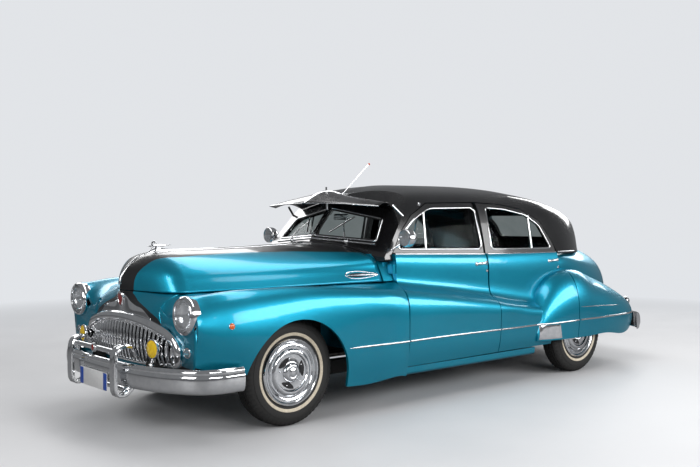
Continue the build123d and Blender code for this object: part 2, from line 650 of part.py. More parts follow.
with BuildPart() as rear_body:
    add(tail_half.part)
    add(lid_prism(0), mode=Mode.SUBTRACT)
    add(lid_ledge.part)
    add(lid_barrels(8, 1), mode=Mode.SUBTRACT)
    mirror(about=Plane.XZ)
keep(rear_body, "rear_body")
with BuildPart() as trunk_lid:
    add(tail_half.part)
    add(lid_prism(-seam_gap), mode=Mode.INTERSECT)
    mirror(about=Plane.XZ)
    add(lid_barrels(7, 0))
keep(trunk_lid, "trunk_lid")

with BuildPart() as rear_fender_left:
    add(rear_fender_shell(fender_stations, sheet))
    with BuildSketch(Plane.XY):
        with Locations(rear_hinge):
            Circle(rear_hinge[0] - rear_seam_x + seam_gap / 2)
    extrude(amount=roof_z, mode=Mode.SUBTRACT)
    add(tail_outer, mode=Mode.SUBTRACT)
keep_pair(rear_fender_left, "rear_fender")

# ---- pillars between the doors ----
with BuildPart() as pillar_left:
    with BuildSketch(Plane.YZ.offset(b_seam_x - 45)):
        with BuildLine():
            Polyline((door_inner_y - 8, floor_z - 16), (door_inner_y - 8, belt_z), (roof_y - 32, belt_z + 440),
                     (roof_y - 90, belt_z + 440), (door_inner_y - 48, belt_z - 20),
                     (door_inner_y - 48, floor_z - 16), close=True)
        make_face()
    extrude(amount=80)
    for z in (450, 980):
        with Locations((b_seam_x + 6.8, door_inner_y + 4, z)):
            Box(20, 44, 70)
    add(roof.part, mode=Mode.SUBTRACT)
keep_together((pillar_left, mirrored(pillar_left)), "center_pillars")

# ---- glass of the windscreen and the rear window ----
with BuildPart() as screen_glass:
    with BuildSketch(screen_plane.offset(-shell / 2)):
        with BuildLine():
            Polyline((14, 42), (610, 46), (560, 262), (14, 330), close=True)
        make_face()
        fillet(vertices(), 14)
    extrude(amount=-glass_thick)
    mirror(about=Plane.XZ)
keep(screen_glass, "windscreen_glass")
with BuildPart() as back_glass:
    with BuildPart(mode=Mode.PRIVATE) as half_glass:
        add(greenhouse(shell / 2))
        add(greenhouse(shell / 2 + glass_thick), mode=Mode.SUBTRACT)
        with BuildSketch(Plane.YZ.offset(rear_end_x)):
            with Locations((0, belt_z + 215)):
                RectangleRounded(2 * 430, 210, 60)
        extrude(amount=rear_axle_x - rear_end_x, mode=Mode.INTERSECT)
    add(half_glass.part)
    mirror(half_glass.part, about=Plane.XZ)
keep(back_glass, "rear_window_glass")

# ---- chassis frame ----
rail_line = [(front_end_x - 220, 400), (front_axle_x + 330, 410), (front_axle_x - 330, 410),
             (front_axle_x - 600, floor_z - 50), (rear_axle_x + 290, floor_z - 50), (rear_axle_x + 140, 480),
             (rear_axle_x - 330, 480), (rear_axle_x - 450, 300), (rear_end_x + 150, 300)]
cross_members = [(front_axle_x + 560, 350, 450), (front_axle_x - 640, floor_z - 60, floor_z),
                 (b_seam_x + 100, floor_z - 60, floor_z), (rear_axle_x - 245, 430, 530), (rear_axle_x - 1000, 250, 350)]
rail_y = 390
with BuildPart() as chassis_frame:
    for side in (-1, 1):
        with BuildSketch(Plane.XZ.offset(-side * rail_y)):
            with BuildLine():
                Polyline(*[(x, z + 50) for x, z in rail_line], *[(x, z - 50) for x, z in reversed(rail_line)],
                         close=True)
            make_face()
        extrude(amount=40, both=True)
    for x, low, high in cross_members:
        with Locations((x, 0, (low + high) / 2)):
            Box(90, 2 * rail_y, high - low)
keep(chassis_frame, "chassis_frame")

# ---- floor ----
with BuildPart() as floor_pan:
    with BuildSketch(Plane.XZ):
        with BuildLine():
            Polyline((front_seam_x + 20, floor_z + 150), (front_seam_x - 130, floor_z), (rear_axle_x + 310, floor_z),
                     (rear_axle_x + 155, 530), (rear_axle_x - 454, 530), (rear_axle_x - 454, floor_z + 74),
                     (rear_axle_x - 470, floor_z + 74), (rear_axle_x - 470, 546),
                     (rear_axle_x + 148, 546), (rear_axle_x + 300, floor_z + 16), (front_seam_x - 130, floor_z + 16),
                     (front_seam_x + 20, floor_z + 166), close=True)
        make_face()
    extrude(amount=door_inner_y - 60, both=True)
keep(floor_pan, "floor_pan")

# ---- engine, radiator, exhaust and tank ----
with BuildPart() as engine_block:
    with Locations((front_axle_x - 400, 0, 655)):
        Box(760, 330, 590)
keep(engine_block, "engine_block")
with BuildPart() as radiator:
    with Locations((front_axle_x + 560, 0, 660)):
        Box(60, 560, 420)
keep(radiator, "radiator")
pipe_y = -250
with BuildPart() as exhaust:
    with BuildLine():
        FilletPolyline((front_axle_x - 700, pipe_y, 220), (rear_axle_x + 330, pipe_y, 220),
                       (rear_axle_x + 110, pipe_y, 458), (rear_axle_x - 120, pipe_y, 458),
                       (rear_axle_x - 310, pipe_y, 222), (rear_end_x + 120, pipe_y, 222), radius=100)
    with BuildSketch(Plane(origin=(front_axle_x - 700, pipe_y, 220), z_dir=(-1, 0, 0))):
        Circle(24)
    sweep()
    with BuildSketch(Plane.YZ.offset(b_seam_x - 500)):
        with Locations((pipe_y, 222)):
            Ellipse(90, 52)
    extrude(amount=520)
    with Locations((b_seam_x - 250, pipe_y, floor_z - 30)):
        Box(24, 24, 60)
keep(exhaust, "exhaust")
with BuildPart() as fuel_tank:
    with Locations((rear_axle_x - 740, 40, 290)):
        Box(420, 520, 120)
    fillet(fuel_tank.edges().filter_by(Axis.Z), 60)
keep(fuel_tank, "fuel_tank")

# ---- front suspension, knuckles, rear axle ----
kingpin_y = front_track / 2 - tyre_width / 2 - 22
kingpin_low = 245
kingpin_high = 470
with BuildPart() as front_suspension:
    with Locations((front_axle_x, 0, 300)):
        Box(130, 2 * rail_y - 80, 120)
    for side in (-1, 1):
        for low in (kingpin_low - 20.3, kingpin_high + 0.3):
            with BuildSketch(Plane.XY.offset(low)):
                with BuildLine():
                    Polyline((front_axle_x - 110, side * 300), (front_axle_x + 110, side * 300),
                             (front_axle_x + 26, side * kingpin_y), (front_axle_x - 26, side * kingpin_y), close=True)
                make_face()
                with Locations((front_axle_x, side * kingpin_y)):
                    Circle(34)
            extrude(amount=20)
        with BuildSketch(Plane.XY.offset(kingpin_low - 1)):
            with Locations((front_axle_x, side * 322)):
                Rectangle(120, 44)
        extrude(amount=kingpin_high - kingpin_low + 2)
keep(front_suspension, "front_suspension")

axle_z = tyre_radius
with BuildPart() as knuckle_left:
    with BuildSketch(Plane.XY.offset(kingpin_low)):
        with Locations((front_axle_x, kingpin_y)):
            Circle(24)
    extrude(amount=kingpin_high - kingpin_low)
    with BuildSketch(Plane.XZ.offset(-kingpin_y)):
        with Locations((front_axle_x, axle_z)):
            Circle(60)
    extrude(amount=-30)
    with BuildSketch(Plane.XZ.offset(-kingpin_y - 30)):
        with Locations((front_axle_x, axle_z)):
            Circle(20)
    extrude(amount=-70)
keep_pair(knuckle_left, "knuckle")

rear_stub_y = rear_track / 2 - tyre_width / 2 + 8
with BuildPart() as rear_axle:
    with BuildSketch(Plane.XZ):
        with Locations((rear_axle_x, axle_z)):
            Circle(42)
    extrude(amount=rear_stub_y, both=True)
    with BuildSketch(Plane.XZ):
        with Locations((rear_axle_x, axle_z)):
            Circle(20)
    extrude(amount=rear_stub_y + 60, both=True)
    with BuildSketch(Plane.XZ):
        with BuildLine():
            CenterArc((rear_axle_x, axle_z), 140, 0, 360)
        make_face()
    extrude(amount=95, both=True)
    for side in (-1, 1):
        with BuildSketch(Plane.XY.offset(axle_z + 30)):
            with Locations((rear_axle_x, side * rail_y)):
                Circle(38)
        extrude(amount=430 - axle_z - 30)
keep(rear_axle, "rear_axle")


# ---- wheels and tyres ----
def wheel_and_tyre(x, track):
    """A left wheel with its drum and bore, and its tyre, both turned about the axle line."""
    y = track / 2
    axle = Axis((x, 0, axle_z), (0, 1, 0))
    half_rim, half_tyre = rim_width / 2, tyre_width / 2
    with BuildPart() as wheel:
        with BuildSketch(Plane.YZ.offset(x)):
            with BuildLine():
                Polyline((y - half_rim, axle_z + rim_radius), (y - half_rim, axle_z + rim_radius - 12),
                         (y - 10, axle_z + rim_radius - 26), (y - 10, axle_z + 150), (y - 50, axle_z + 150),
                         (y - 50, axle_z + 70), (y - 20, axle_z + 20.4), (y + 30, axle_z + 20.4),
                         (y + 34, axle_z), (y + 62, axle_z), (y + 58, axle_z + 44), (y + 44, axle_z + 120),
                         (y + 52, axle_z + 196), (y + 62, axle_z + rim_radius - 8),
                         (y + half_rim, axle_z + rim_radius), close=True)
            make_face()
        revolve(axis=axle)
    with BuildPart() as tyre:
        with BuildSketch(Plane.YZ.offset(x)):
            with BuildLine():
                Line((y - half_rim, axle_z + rim_radius), (y + half_rim, axle_z + rim_radius))
                Spline((y + half_rim, axle_z + rim_radius), (y + half_tyre, axle_z + 0.76 * tyre_radius),
                       (y + 0.78 * half_tyre, axle_z + 0.965 * tyre_radius),
                       (y + 0.45 * half_tyre, axle_z + tyre_radius))
                Line((y + 0.45 * half_tyre, axle_z + tyre_radius), (y - 0.45 * half_tyre, axle_z + tyre_radius))
                Spline((y - 0.45 * half_tyre, axle_z + tyre_radius),
                       (y - 0.78 * half_tyre, axle_z + 0.965 * tyre_radius),
                       (y - half_tyre, axle_z + 0.76 * tyre_radius), (y - half_rim, axle_z + rim_radius))
            make_face()
        revolve(axis=axle)
    return wheel, tyre


for end, x, track in (("front", front_axle_x, front_track), ("rear", rear_axle_x, rear_track)):
    left_wheel, left_tyre = wheel_and_tyre(x, track)
    keep_pair(left_wheel, f"{end}_wheel")
    keep_pair(left_tyre, f"{end}_tyre")

# ---- nose, grille and lamps ----
grille_top_z = 803
grille_low_z = 470
grille_half = 645


def nose_x(y):
    """How far forward the grille's plan curve stands at half width y."""
    return front_end_x - 168 - 132 * (y / grille_half) ** 3


nose_plan = [(nose_x(share * grille_half), share * grille_half) for share in (0, 0.2, 0.4, 0.55, 0.7, 0.85, 1)]
nose_back = [(x - 40, y) for x, y in nose_plan]


def arch_face(half, top, low):
    """Half of the grille opening: a low arch over a straight sill."""
    return [(0, top), (0.5 * half, top - 0.08 * (top - low)), (0.85 * half, top - 0.3 * (top - low)),
            (half, low + 0.35 * (top - low)), (0.93 * half, low)]


def nose_band(grow):
    """Left half of the nose band between the plan curve and its back, inside the grown arch."""
    arch = arch_face(grille_half + grow, grille_top_z + grow, grille_low_z - grow)
    with BuildPart() as band:
        with BuildSketch(Plane.XY):
            with BuildLine():
                Spline(*nose_plan)
                Line(nose_plan[-1], nose_back[-1])
                Spline(*reversed(nose_back))
                Line(nose_back[0], nose_plan[0])
            make_face()
        extrude(amount=roof_z)
        with BuildSketch(Plane.YZ.offset(front_axle_x)):
            with BuildLine():
                Spline(*arch)
                Polyline(arch[-1], (0, arch[-1][1]), arch[0])
            make_face()
        extrude(amount=front_overhang, mode=Mode.INTERSECT)
    return band.part


with BuildPart() as grille_surround:
    add(nose_band(0))
    add(nose_band(-48), mode=Mode.SUBTRACT)
    mirror(about=Plane.XZ)
keep(grille_surround, "grille_surround")

bar_count = 13
bar_pitch = (grille_half - 75) / bar_count
with BuildPart() as grille:
    for i in range(bar_count):
        y = (i + 0.5) * bar_pitch
        share = y / grille_half
        bar_top = grille_top_z - 60 - 125 * share ** 3
        bar_low = grille_low_z + 50
        face_x = nose_x(y) - 24
        with BuildSketch(Plane.XZ.offset(-y)):
            with BuildLine():
                Line((face_x - 34, bar_low), (face_x - 34, bar_top))
                ThreePointArc((face_x - 34, bar_top), (face_x + 12, (bar_top + bar_low) / 2), (face_x - 34, bar_low))
            make_face()
        extrude(amount=7, both=True)
    for z in (grille_low_z + 90, grille_low_z + 190):
        with BuildSketch(Plane.XY.offset(z)):
            with BuildLine():
                Spline(*[(x - 52.3, y) for x, y in nose_plan])
                Line((nose_plan[-1][0] - 52.3, grille_half), (nose_plan[-1][0] - 80, grille_half))
                Spline(*[(x - 80, y) for x, y in reversed(nose_plan)])
                Line((nose_plan[0][0] - 80, 0), (nose_plan[0][0] - 52.3, 0))
            make_face()
        extrude(amount=16)
    mirror(about=Plane.XZ)
keep(grille, "grille")

panel_front = [(x - 0.3, y) for x, y in nose_back]
panel_back = [(x - 12, y) for x, y in nose_back]
panel_top = [(0, 796), (belt_y - 560, 780), (belt_y - 440, 758), (belt_y - 360, 740), (belt_y - 250, 722),
             (grille_half - 5, 730)]
cheek_plan = [(lamp_seat_x - 85, belt_y + 122), (lamp_seat_x - 40, belt_y + 90), (lamp_seat_x - 13, belt_y + 40),
              (lamp_seat_x - 4, belt_y - 20), (lamp_seat_x - 8, belt_y - 70), (lamp_seat_x - 32, grille_half - 14)]
cheek_low_z = 455
with BuildPart() as nose_panel:
    with BuildSketch(Plane.XY.offset(grille_low_z - 15)):
        with BuildLine():
            Spline(*panel_front)
            Line(panel_front[-1], panel_back[-1])
            Spline(*reversed(panel_back))
            Line(panel_back[0], panel_front[0])
        make_face()
    extrude(amount=375)
    with BuildSketch(Plane.YZ.offset(front_axle_x)):
        with BuildLine():
            Spline(*panel_top)
            Polyline(panel_top[-1], (grille_half - 5, cheek_low_z), (0, cheek_low_z), panel_top[0])
        make_face()
    extrude(amount=front_overhang, mode=Mode.INTERSECT)
    opening = arch_face(grille_half - 34, grille_top_z - 34, grille_low_z + 34)
    with BuildSketch(Plane.YZ.offset(front_axle_x)):
        with BuildLine():
            Spline(*opening)
            Polyline(opening[-1], (0, opening[-1][1]), opening[0])
        make_face()
    extrude(amount=front_overhang, mode=Mode.SUBTRACT)
    with BuildPart(mode=Mode.PRIVATE) as cheek:
        extrude(thick_line(Plane.XY.offset(cheek_low_z), list(reversed(cheek_plan)), -18),
                amount=lamp_z - 20 - cheek_low_z)
        with Locations(Location((lamp_seat_x, lamp_y, lamp_z), (0, 90, 0))):
            Cylinder(66, 200, mode=Mode.SUBTRACT)
    add(cheek.part)
    add(grille_surround.part, mode=Mode.SUBTRACT)
    mirror(about=Plane.XZ)
    add(front_fender_left.part, mode=Mode.SUBTRACT)
    add(mirrored(front_fender_left).part, mode=Mode.SUBTRACT)
keep(nose_panel, "nose_panel")

with BuildPart() as headlamp_left:
    with BuildSketch(Plane.XY.offset(lamp_z)):
        with BuildLine():
            Polyline((lamp_seat_x - 80, lamp_y), (lamp_seat_x - 80, lamp_y + 40), (lamp_seat_x, lamp_y + 62),
                     (lamp_seat_x, lamp_y + 118), (lamp_seat_x + 30, lamp_y + 118), (lamp_seat_x + 46, lamp_y + 96))
            Spline((lamp_seat_x + 46, lamp_y + 96), (lamp_seat_x + 65, lamp_y), tangents=((1, -1.2), (0, -1)))
            Line((lamp_seat_x + 65, lamp_y), (lamp_seat_x - 80, lamp_y))
        make_face()
    revolve(axis=Axis((lamp_seat_x, lamp_y, lamp_z), (1, 0, 0)))
keep_together((headlamp_left, mirrored(headlamp_left)), "headlamps")

# ---- bumpers ----
guard_y = 319
bumper_plan = [(front_end_x - 62, 0), (front_end_x - 75, 350), (front_end_x - 145, 650), (front_end_x - 290, 890),
               (front_end_x - 560, belt_y + 190)]
with BuildPart() as front_bumper:
    extrude(thick_line(Plane.XY.offset(bumper_z - bumper_height / 2), list(reversed(bumper_plan)), 26), amount=bumper_height)
    with BuildSketch(Plane.XZ.offset(-guard_y)):
        with BuildLine():
            Polyline((front_end_x - 80, 251), (front_end_x - 10, 275))
            Spline((front_end_x - 10, 275), (front_end_x, 420), (front_end_x - 40, 563))
            Polyline((front_end_x - 40, 563), (front_end_x - 95, 563), (front_end_x - 80, 251))
        make_face()
    extrude(amount=38, both=True)
    with BuildSketch(Plane.XZ):
        with Locations((front_end_x - 62, 520)):
            Circle(17)
    extrude(amount=-guard_y)
    with Locations((front_end_x - 162, rail_y, 400)):
        Box(116, 60, 70)
    mirror(about=Plane.XZ)
keep(front_bumper, "front_bumper")
rear_plan = [(rear_end_x + 40, 0), (rear_end_x + 52, 350), (rear_end_x + 95, 620), (rear_end_x + 200, 830),
             (rear_end_x + 330, 930)]
with BuildPart() as rear_bumper:
    extrude(thick_line(Plane.XY.offset(bumper_z - bumper_height / 2), rear_plan, 26), amount=bumper_height)
    with BuildSketch(Plane.XZ.offset(-guard_y)):
        with BuildLine():
            Polyline((rear_end_x + 75, 270), (rear_end_x + 8, 290))
            Spline((rear_end_x + 8, 290), (rear_end_x, 400), (rear_end_x + 26, 540))
            Polyline((rear_end_x + 26, 540), (rear_end_x + 80, 540), (rear_end_x + 75, 270))
        make_face()
    extrude(amount=34, both=True)
    with Locations((rear_end_x + 108, rail_y, 300)):
        Box(84, 60, 60)
    mirror(about=Plane.XZ)
keep(rear_bumper, "rear_bumper")

# ---- cabin ----
with BuildPart() as dashboard:
    with BuildSketch(Plane.XZ):
        with BuildLine():
            Polyline((front_seam_x + 20, 880), (front_seam_x - 70, 880), (front_seam_x - 92, 980))
            Spline((front_seam_x - 92, 980), (front_seam_x - 60, 1080), (front_seam_x + 20, 1110))
            Line((front_seam_x + 20, 1110), (front_seam_x + 20, 880))
        make_face()
    extrude(amount=door_inner_y - 60, both=True)
    add(cowl.part, mode=Mode.SUBTRACT)
    add(roof.part, mode=Mode.SUBTRACT)
keep(dashboard, "dashboard")

column_plane = Plane(origin=(front_seam_x - 290, 370, 975), z_dir=(-0.80, 0, 0.60))
with BuildPart() as steering_column:
    with BuildSketch(column_plane.offset(-20)):
        Circle(26)
    extrude(amount=-375)
    add(dashboard.part, mode=Mode.SUBTRACT)
    add(cowl.part, mode=Mode.SUBTRACT)
keep(steering_column, "steering_column")
with BuildPart() as steering_wheel:
    with Locations(column_plane):
        Torus(205, 13)
    with BuildSketch(column_plane.offset(-19.6)):
        Circle(38)
    extrude(amount=40)
    for turn in (30, 150, 270):
        spoke_dir = column_plane.x_dir.rotate(Axis((0, 0, 0), column_plane.z_dir), turn)
        with BuildSketch(Plane(origin=column_plane.origin, z_dir=spoke_dir)):
            Circle(8)
        extrude(amount=200)
keep(steering_wheel, "steering_wheel")


def cushion(x0, x1, z0, z1, half, rounding):
    with BuildPart() as pad:
        with Locations(((x0 + x1) / 2, 0, (z0 + z1) / 2)):
            Box(abs(x1 - x0), 2 * half, z1 - z0)
        fillet(pad.edges(), rounding)
    return pad


front_seat_x = b_seam_x + 5
rear_seat_x = rear_axle_x + 325
seat_low_z = floor_z + 16.3
keep_together((cushion(front_seat_x, front_seat_x + 510, seat_low_z, 560, seat_y, 40),
               cushion(front_seat_x - 125, front_seat_x - 0.3, seat_low_z + 120, 985, seat_y, 40)), "front_seat")
keep_together((cushion(rear_seat_x, rear_seat_x + 480, seat_low_z, 570, seat_y - 10, 40),
               cushion(rear_seat_x - 138, rear_seat_x, 570.3, 1010, seat_y - 10, 40)), "rear_seat")
shelf_plan = [(x, line_at([(z, y) for y, z in tail_points(x, shell)], 1000) + 8)
              for x in (rear_seat_x - 180, rear_seat_x - 300, rear_seat_x - 480, rear_seat_x - 640, roof_back_x + 150)]
with BuildPart() as parcel_shelf:
    with BuildSketch(Plane.XZ):
        with BuildLine():
            Polyline((rear_seat_x - 138.3, 546), (rear_seat_x - 138.3, 1000), (rear_seat_x - 180, 1000),
                     (rear_seat_x - 180, 988), (rear_seat_x - 150.3, 988), (rear_seat_x - 150.3, 546), close=True)
        make_face()
    extrude(amount=door_inner_y - 50, both=True)
    with BuildSketch(Plane.XY.offset(988)):
        with BuildLine():
            Polyline((shelf_plan[0][0], 0), *shelf_plan, (shelf_plan[-1][0], 0), close=True)
        make_face()
        mirror(about=Plane.XZ)
    extrude(amount=12)
    add(rear_body.part, mode=Mode.SUBTRACT)
keep(parcel_shelf, "parcel_shelf")

# ---- small pieces outside ----
aerial_foot = Vector(front_seam_x - 130, 0, roof_z - 110)
aerial_run = Vector(-294, 0, 258)
with BuildPart() as aerial_rod:
    with BuildSketch(Plane(origin=aerial_foot, z_dir=aerial_run)):
        Circle(3)
    extrude(amount=aerial_run.length + 40)
    add(roof.part, mode=Mode.SUBTRACT)
with BuildPart() as aerial:
    add(aerial_rod.solids().sort_by(Axis.Z)[-1])
keep(aerial, "aerial")

spot_y = front_hinge[1] - 79
spot_z = belt_z + 147
spot_x = front_hinge[0] - 45
with BuildPart() as spotlamp_left:
    with BuildSketch(Plane.XY.offset(spot_z)):
        with BuildLine():
            Polyline((spot_x - 55, spot_y), (spot_x + 45, spot_y), (spot_x + 45, spot_y + 58),
                     (spot_x + 38, spot_y + 66), (spot_x + 14, spot_y + 66))
            Spline((spot_x + 14, spot_y + 66), (spot_x - 30, spot_y + 46), (spot_x - 55, spot_y),
                   tangents=((-1, 0), (0, -1)))
        make_face()
    revolve(axis=Axis((spot_x, spot_y, spot_z), (1, 0, 0)))
    with BuildSketch(Plane(origin=(spot_x, spot_y, spot_z), z_dir=(66, -105, -82))):
        Circle(8)
    extrude(amount=175)
    add(roof.part, mode=Mode.SUBTRACT)
keep_together((spotlamp_left, mirrored(spotlamp_left)), "spotlamps")
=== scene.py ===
import math

import bmesh
import bpy
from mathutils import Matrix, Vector
from mathutils.bvhtree import BVHTree


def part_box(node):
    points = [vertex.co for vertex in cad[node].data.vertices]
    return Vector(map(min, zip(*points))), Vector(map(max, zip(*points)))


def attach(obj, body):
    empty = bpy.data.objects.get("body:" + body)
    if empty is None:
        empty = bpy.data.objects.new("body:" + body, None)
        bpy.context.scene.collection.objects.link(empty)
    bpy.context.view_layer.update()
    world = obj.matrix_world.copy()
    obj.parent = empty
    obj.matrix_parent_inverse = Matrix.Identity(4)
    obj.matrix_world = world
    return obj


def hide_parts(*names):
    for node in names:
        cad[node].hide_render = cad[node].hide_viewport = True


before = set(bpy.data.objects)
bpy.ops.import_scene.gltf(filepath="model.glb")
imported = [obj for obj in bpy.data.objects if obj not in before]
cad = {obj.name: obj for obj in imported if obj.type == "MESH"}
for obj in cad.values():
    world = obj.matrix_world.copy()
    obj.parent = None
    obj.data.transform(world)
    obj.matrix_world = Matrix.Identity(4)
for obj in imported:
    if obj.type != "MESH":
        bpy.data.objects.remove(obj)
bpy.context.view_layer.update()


# ---- chassis frame ----
# The chassis is a ladder of pressed steel rails, riveted and welded, that carries body and axles.
# It is brushed with black chassis paint, which road dust makes dull and uneven.
def join(tree, *wires):
    """Joins nodes in a node tree, each wire given as (node, output, node, input)."""
    for start, output, end, entry in wires:
        tree.links.new(start.outputs[output], end.inputs[entry])


def finish(name, light, dark, grain, metallic=0.0, rough=(0.4, 0.6), bump=0.0, coat=0.0, stretch=(1, 1, 1)):
    """A node material: two mixed shades, uneven roughness and a fine bump, laid out in the car's own frame."""
    material = bpy.data.materials.new(name)
    material.use_nodes = True
    tree = material.node_tree
    nodes, shader = tree.nodes, tree.nodes["Principled BSDF"]
    place = nodes.new("ShaderNodeTexCoord")
    spread = nodes.new("ShaderNodeMapping")
    spread.inputs["Scale"].default_value = stretch
    cloud = nodes.new("ShaderNodeTexNoise")
    cloud.inputs["Scale"].default_value = grain
    cloud.inputs["Detail"].default_value = 3
    shades = nodes.new("ShaderNodeValToRGB")
    shades.name = "shades"
    for stop, shade, position in zip(shades.color_ramp.elements, (dark, light), (0.35, 0.65)):
        stop.color, stop.position = (*shade, 1), position
    wear = nodes.new("ShaderNodeMapRange")
    for socket, value in zip(("From Min", "From Max", "To Min", "To Max"), (0.3, 0.7, *rough)):
        wear.inputs[socket].default_value = value
    join(tree, (place, "Object", spread, "Vector"), (spread, "Vector", cloud, "Vector"),
         (cloud, "Fac", shades, "Fac"), (cloud, "Fac", wear, "Value"),
         (shades, "Color", shader, "Base Color"), (wear, "Result", shader, "Roughness"))
    shader.inputs["Metallic"].default_value = metallic
    shader.inputs["Coat Weight"].default_value = coat
    shader.inputs["Coat Roughness"].default_value = 0.06
    if bump:
        relief = nodes.new("ShaderNodeBump")
        relief.inputs["Strength"].default_value = 0.4
        relief.inputs["Distance"].default_value = bump
        join(tree, (cloud, "Fac", relief, "Height"), (relief, "Normal", shader, "Normal"))
    return material


def dress(material, *names):
    """Gives CAD nodes their material."""
    for name in names:
        cad[name].data.materials.clear()
        cad[name].data.materials.append(material)


chassis_black = finish("chassis_black", (0.030, 0.028, 0.026), (0.012, 0.012, 0.012), 14, 0.2, (0.5, 0.8), 0.0008)
dress(chassis_black, "chassis_frame", "front_suspension", "knuckle_left", "knuckle_right", "rear_axle", "radiator")

# ---- floor, engine, exhaust and fuel tank ----
# The floor is a steel pressing bolted to the frame, and the engine a cast iron block under the hood.
# The exhaust and tank hang under the floor on straps, in bare steel dulled by heat and water.
floor_black = finish("floor_black", (0.035, 0.036, 0.038), (0.015, 0.015, 0.016), 40, 0.0, (0.75, 0.9), 0.0015)
cast_iron = finish("cast_iron", (0.055, 0.060, 0.058), (0.022, 0.024, 0.024), 60, 0.7, (0.5, 0.75), 0.001)
dull_steel = finish("dull_steel", (0.23, 0.22, 0.20), (0.10, 0.09, 0.08), 22, 0.9, (0.4, 0.65), 0.0006)
dress(floor_black, "floor_pan")
dress(cast_iron, "engine_block")
dress(dull_steel, "exhaust", "fuel_tank")


# ---- tyres ----
# Each tyre is moulded rubber with grooved ribs, cut shoulders and a thin cream band on its wall.
# It is fitted over the steel wheel's rim and held by the air in its tube.
def piece(name, parts, material, body, sharp=38):
    """One mesh made of (points, faces) parts, smooth but for its sharp edges, riding on a CAD body."""
    shape = bmesh.new()
    for points, faces in parts:
        made = [shape.verts.new(p) for p in points]
        for face in faces:
            corners = [made[i] for i in dict.fromkeys(face)]
            if len(corners) > 2:
                shape.faces.new(corners)
    bmesh.ops.remove_doubles(shape, verts=shape.verts, dist=2e-5)
    bmesh.ops.dissolve_degenerate(shape, edges=shape.edges, dist=1e-6)
    bmesh.ops.recalc_face_normals(shape, faces=shape.faces)
    mesh = bpy.data.meshes.new(name)
    shape.to_mesh(mesh)
    shape.free()
    mesh.shade_smooth()
    mesh.set_sharp_from_angle(angle=math.radians(sharp))
    mesh.materials.append(material)
    made = bpy.data.objects.new(name, mesh)
    bpy.context.scene.collection.objects.link(made)
    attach(made, body)
    return made


def grid_faces(rows, size, round_rows=False, round_size=False):
    """Faces over rows of points; a round grid also joins its last row, or each row's last point, to the first."""
    faces = []
    for j in range(rows if round_rows else rows - 1):
        here, beyond = j * size, (j + 1) % rows * size
        for i in range(size if round_size else size - 1):
            after = (i + 1) % size
            faces.append((here + i, here + after, beyond + after, beyond + i))
    return faces


def turned(profile, centre, axis, count=96, closed=False, wave=None):
    """A lathe shape from (along, radius) pairs; wave(along, radius, step) may change a radius round the turn."""
    axis = Vector(axis).normalized()
    first = axis.orthogonal().normalized()
    second = axis.cross(first)
    points = []
    for step in range(count):
        turn = 2 * math.pi * step / count
        out = first * math.cos(turn) + second * math.sin(turn)
        for along, radius in profile:
            reach = wave(along, radius, step) if wave else radius
            points.append(Vector(centre) + axis * along + out * max(reach, 0))
    return points, grid_faces(count, len(profile), True, closed)


front_axle_x = (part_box("front_tyre_left")[0].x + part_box("front_tyre_left")[1].x) / 2
rear_axle_x = (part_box("rear_tyre_left")[0].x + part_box("rear_tyre_left")[1].x) / 2
tyre_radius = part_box("front_tyre_left")[1].z / 2
half_tyre = [(0.058, 0.213), (0.068, 0.218), (0.0755, 0.232), (0.0808, 0.250), (0.0836, 0.272), (0.0834, 0.292),
             (0.0795, 0.312), (0.0725, 0.329), (0.0640, 0.341), (0.0560, 0.3485), (0.0460, 0.3520), (0.0445, 0.3445),
             (0.0395, 0.3445), (0.0385, 0.3530), (0.0215, 0.3542), (0.0205, 0.3465), (0.0155, 0.3465), (0.0145, 0.3546),
             (0.0040, 0.3549), (0.0030, 0.3475)]
tyre_profile = half_tyre + [(-along, radius) for along, radius in reversed(half_tyre)]
tyre_rubber = finish("tyre_rubber", (0.026, 0.025, 0.024), (0.014, 0.014, 0.014), 90, 0.0, (0.62, 0.82), 0.0005)
cream_rubber = finish("cream_rubber", (0.72, 0.64, 0.50), (0.60, 0.52, 0.40), 60, 0.0, (0.45, 0.6), 0.0002)
sides = (("left", 1), ("right", -1))
wheels = []
for end, axle_x in (("front", front_axle_x), ("rear", rear_axle_x)):
    for side, out in sides:
        low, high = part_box(f"{end}_tyre_{side}")
        wheels.append((f"{end}_", f"_{side}", Vector((axle_x, (low.y + high.y) / 2, tyre_radius)), out))


def shoulder_cuts(along, radius, step):
    """Cuts the tread's shoulders into lugs and the ribs into short blocks."""
    if 0.050 < abs(along) < 0.075 and step % 4 == 0:
        return radius - 0.006
    if radius > 0.3525 and step % 8 == (1 if along > 0 else 5):
        return radius - 0.0035
    return radius


for end, side, hub, out in wheels:
    body = f"{end}wheel{side}"
    tyre = piece(f"{end}tyre{side}_tread", [turned(tyre_profile, hub, (0, out, 0), 240, True, shoulder_cuts)],
                 tyre_rubber, body, 30)
    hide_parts(f"{end}tyre{side}")
    band = [(0.0772, 0.2385), (0.0797, 0.2398), (0.0812, 0.2430), (0.0838, 0.2560), (0.0842, 0.2585), (0.0824, 0.2600)]
    piece(f"{end}tyre{side}_band", [turned(band, hub, (0, out, 0), 144)], cream_rubber, body)
    bead = [(0.0830, 0.300), (0.0842, 0.3015), (0.0823, 0.3040)]
    piece(f"{end}tyre{side}_bead", [turned(bead, hub, (0, out, 0), 144)], tyre_rubber, body)

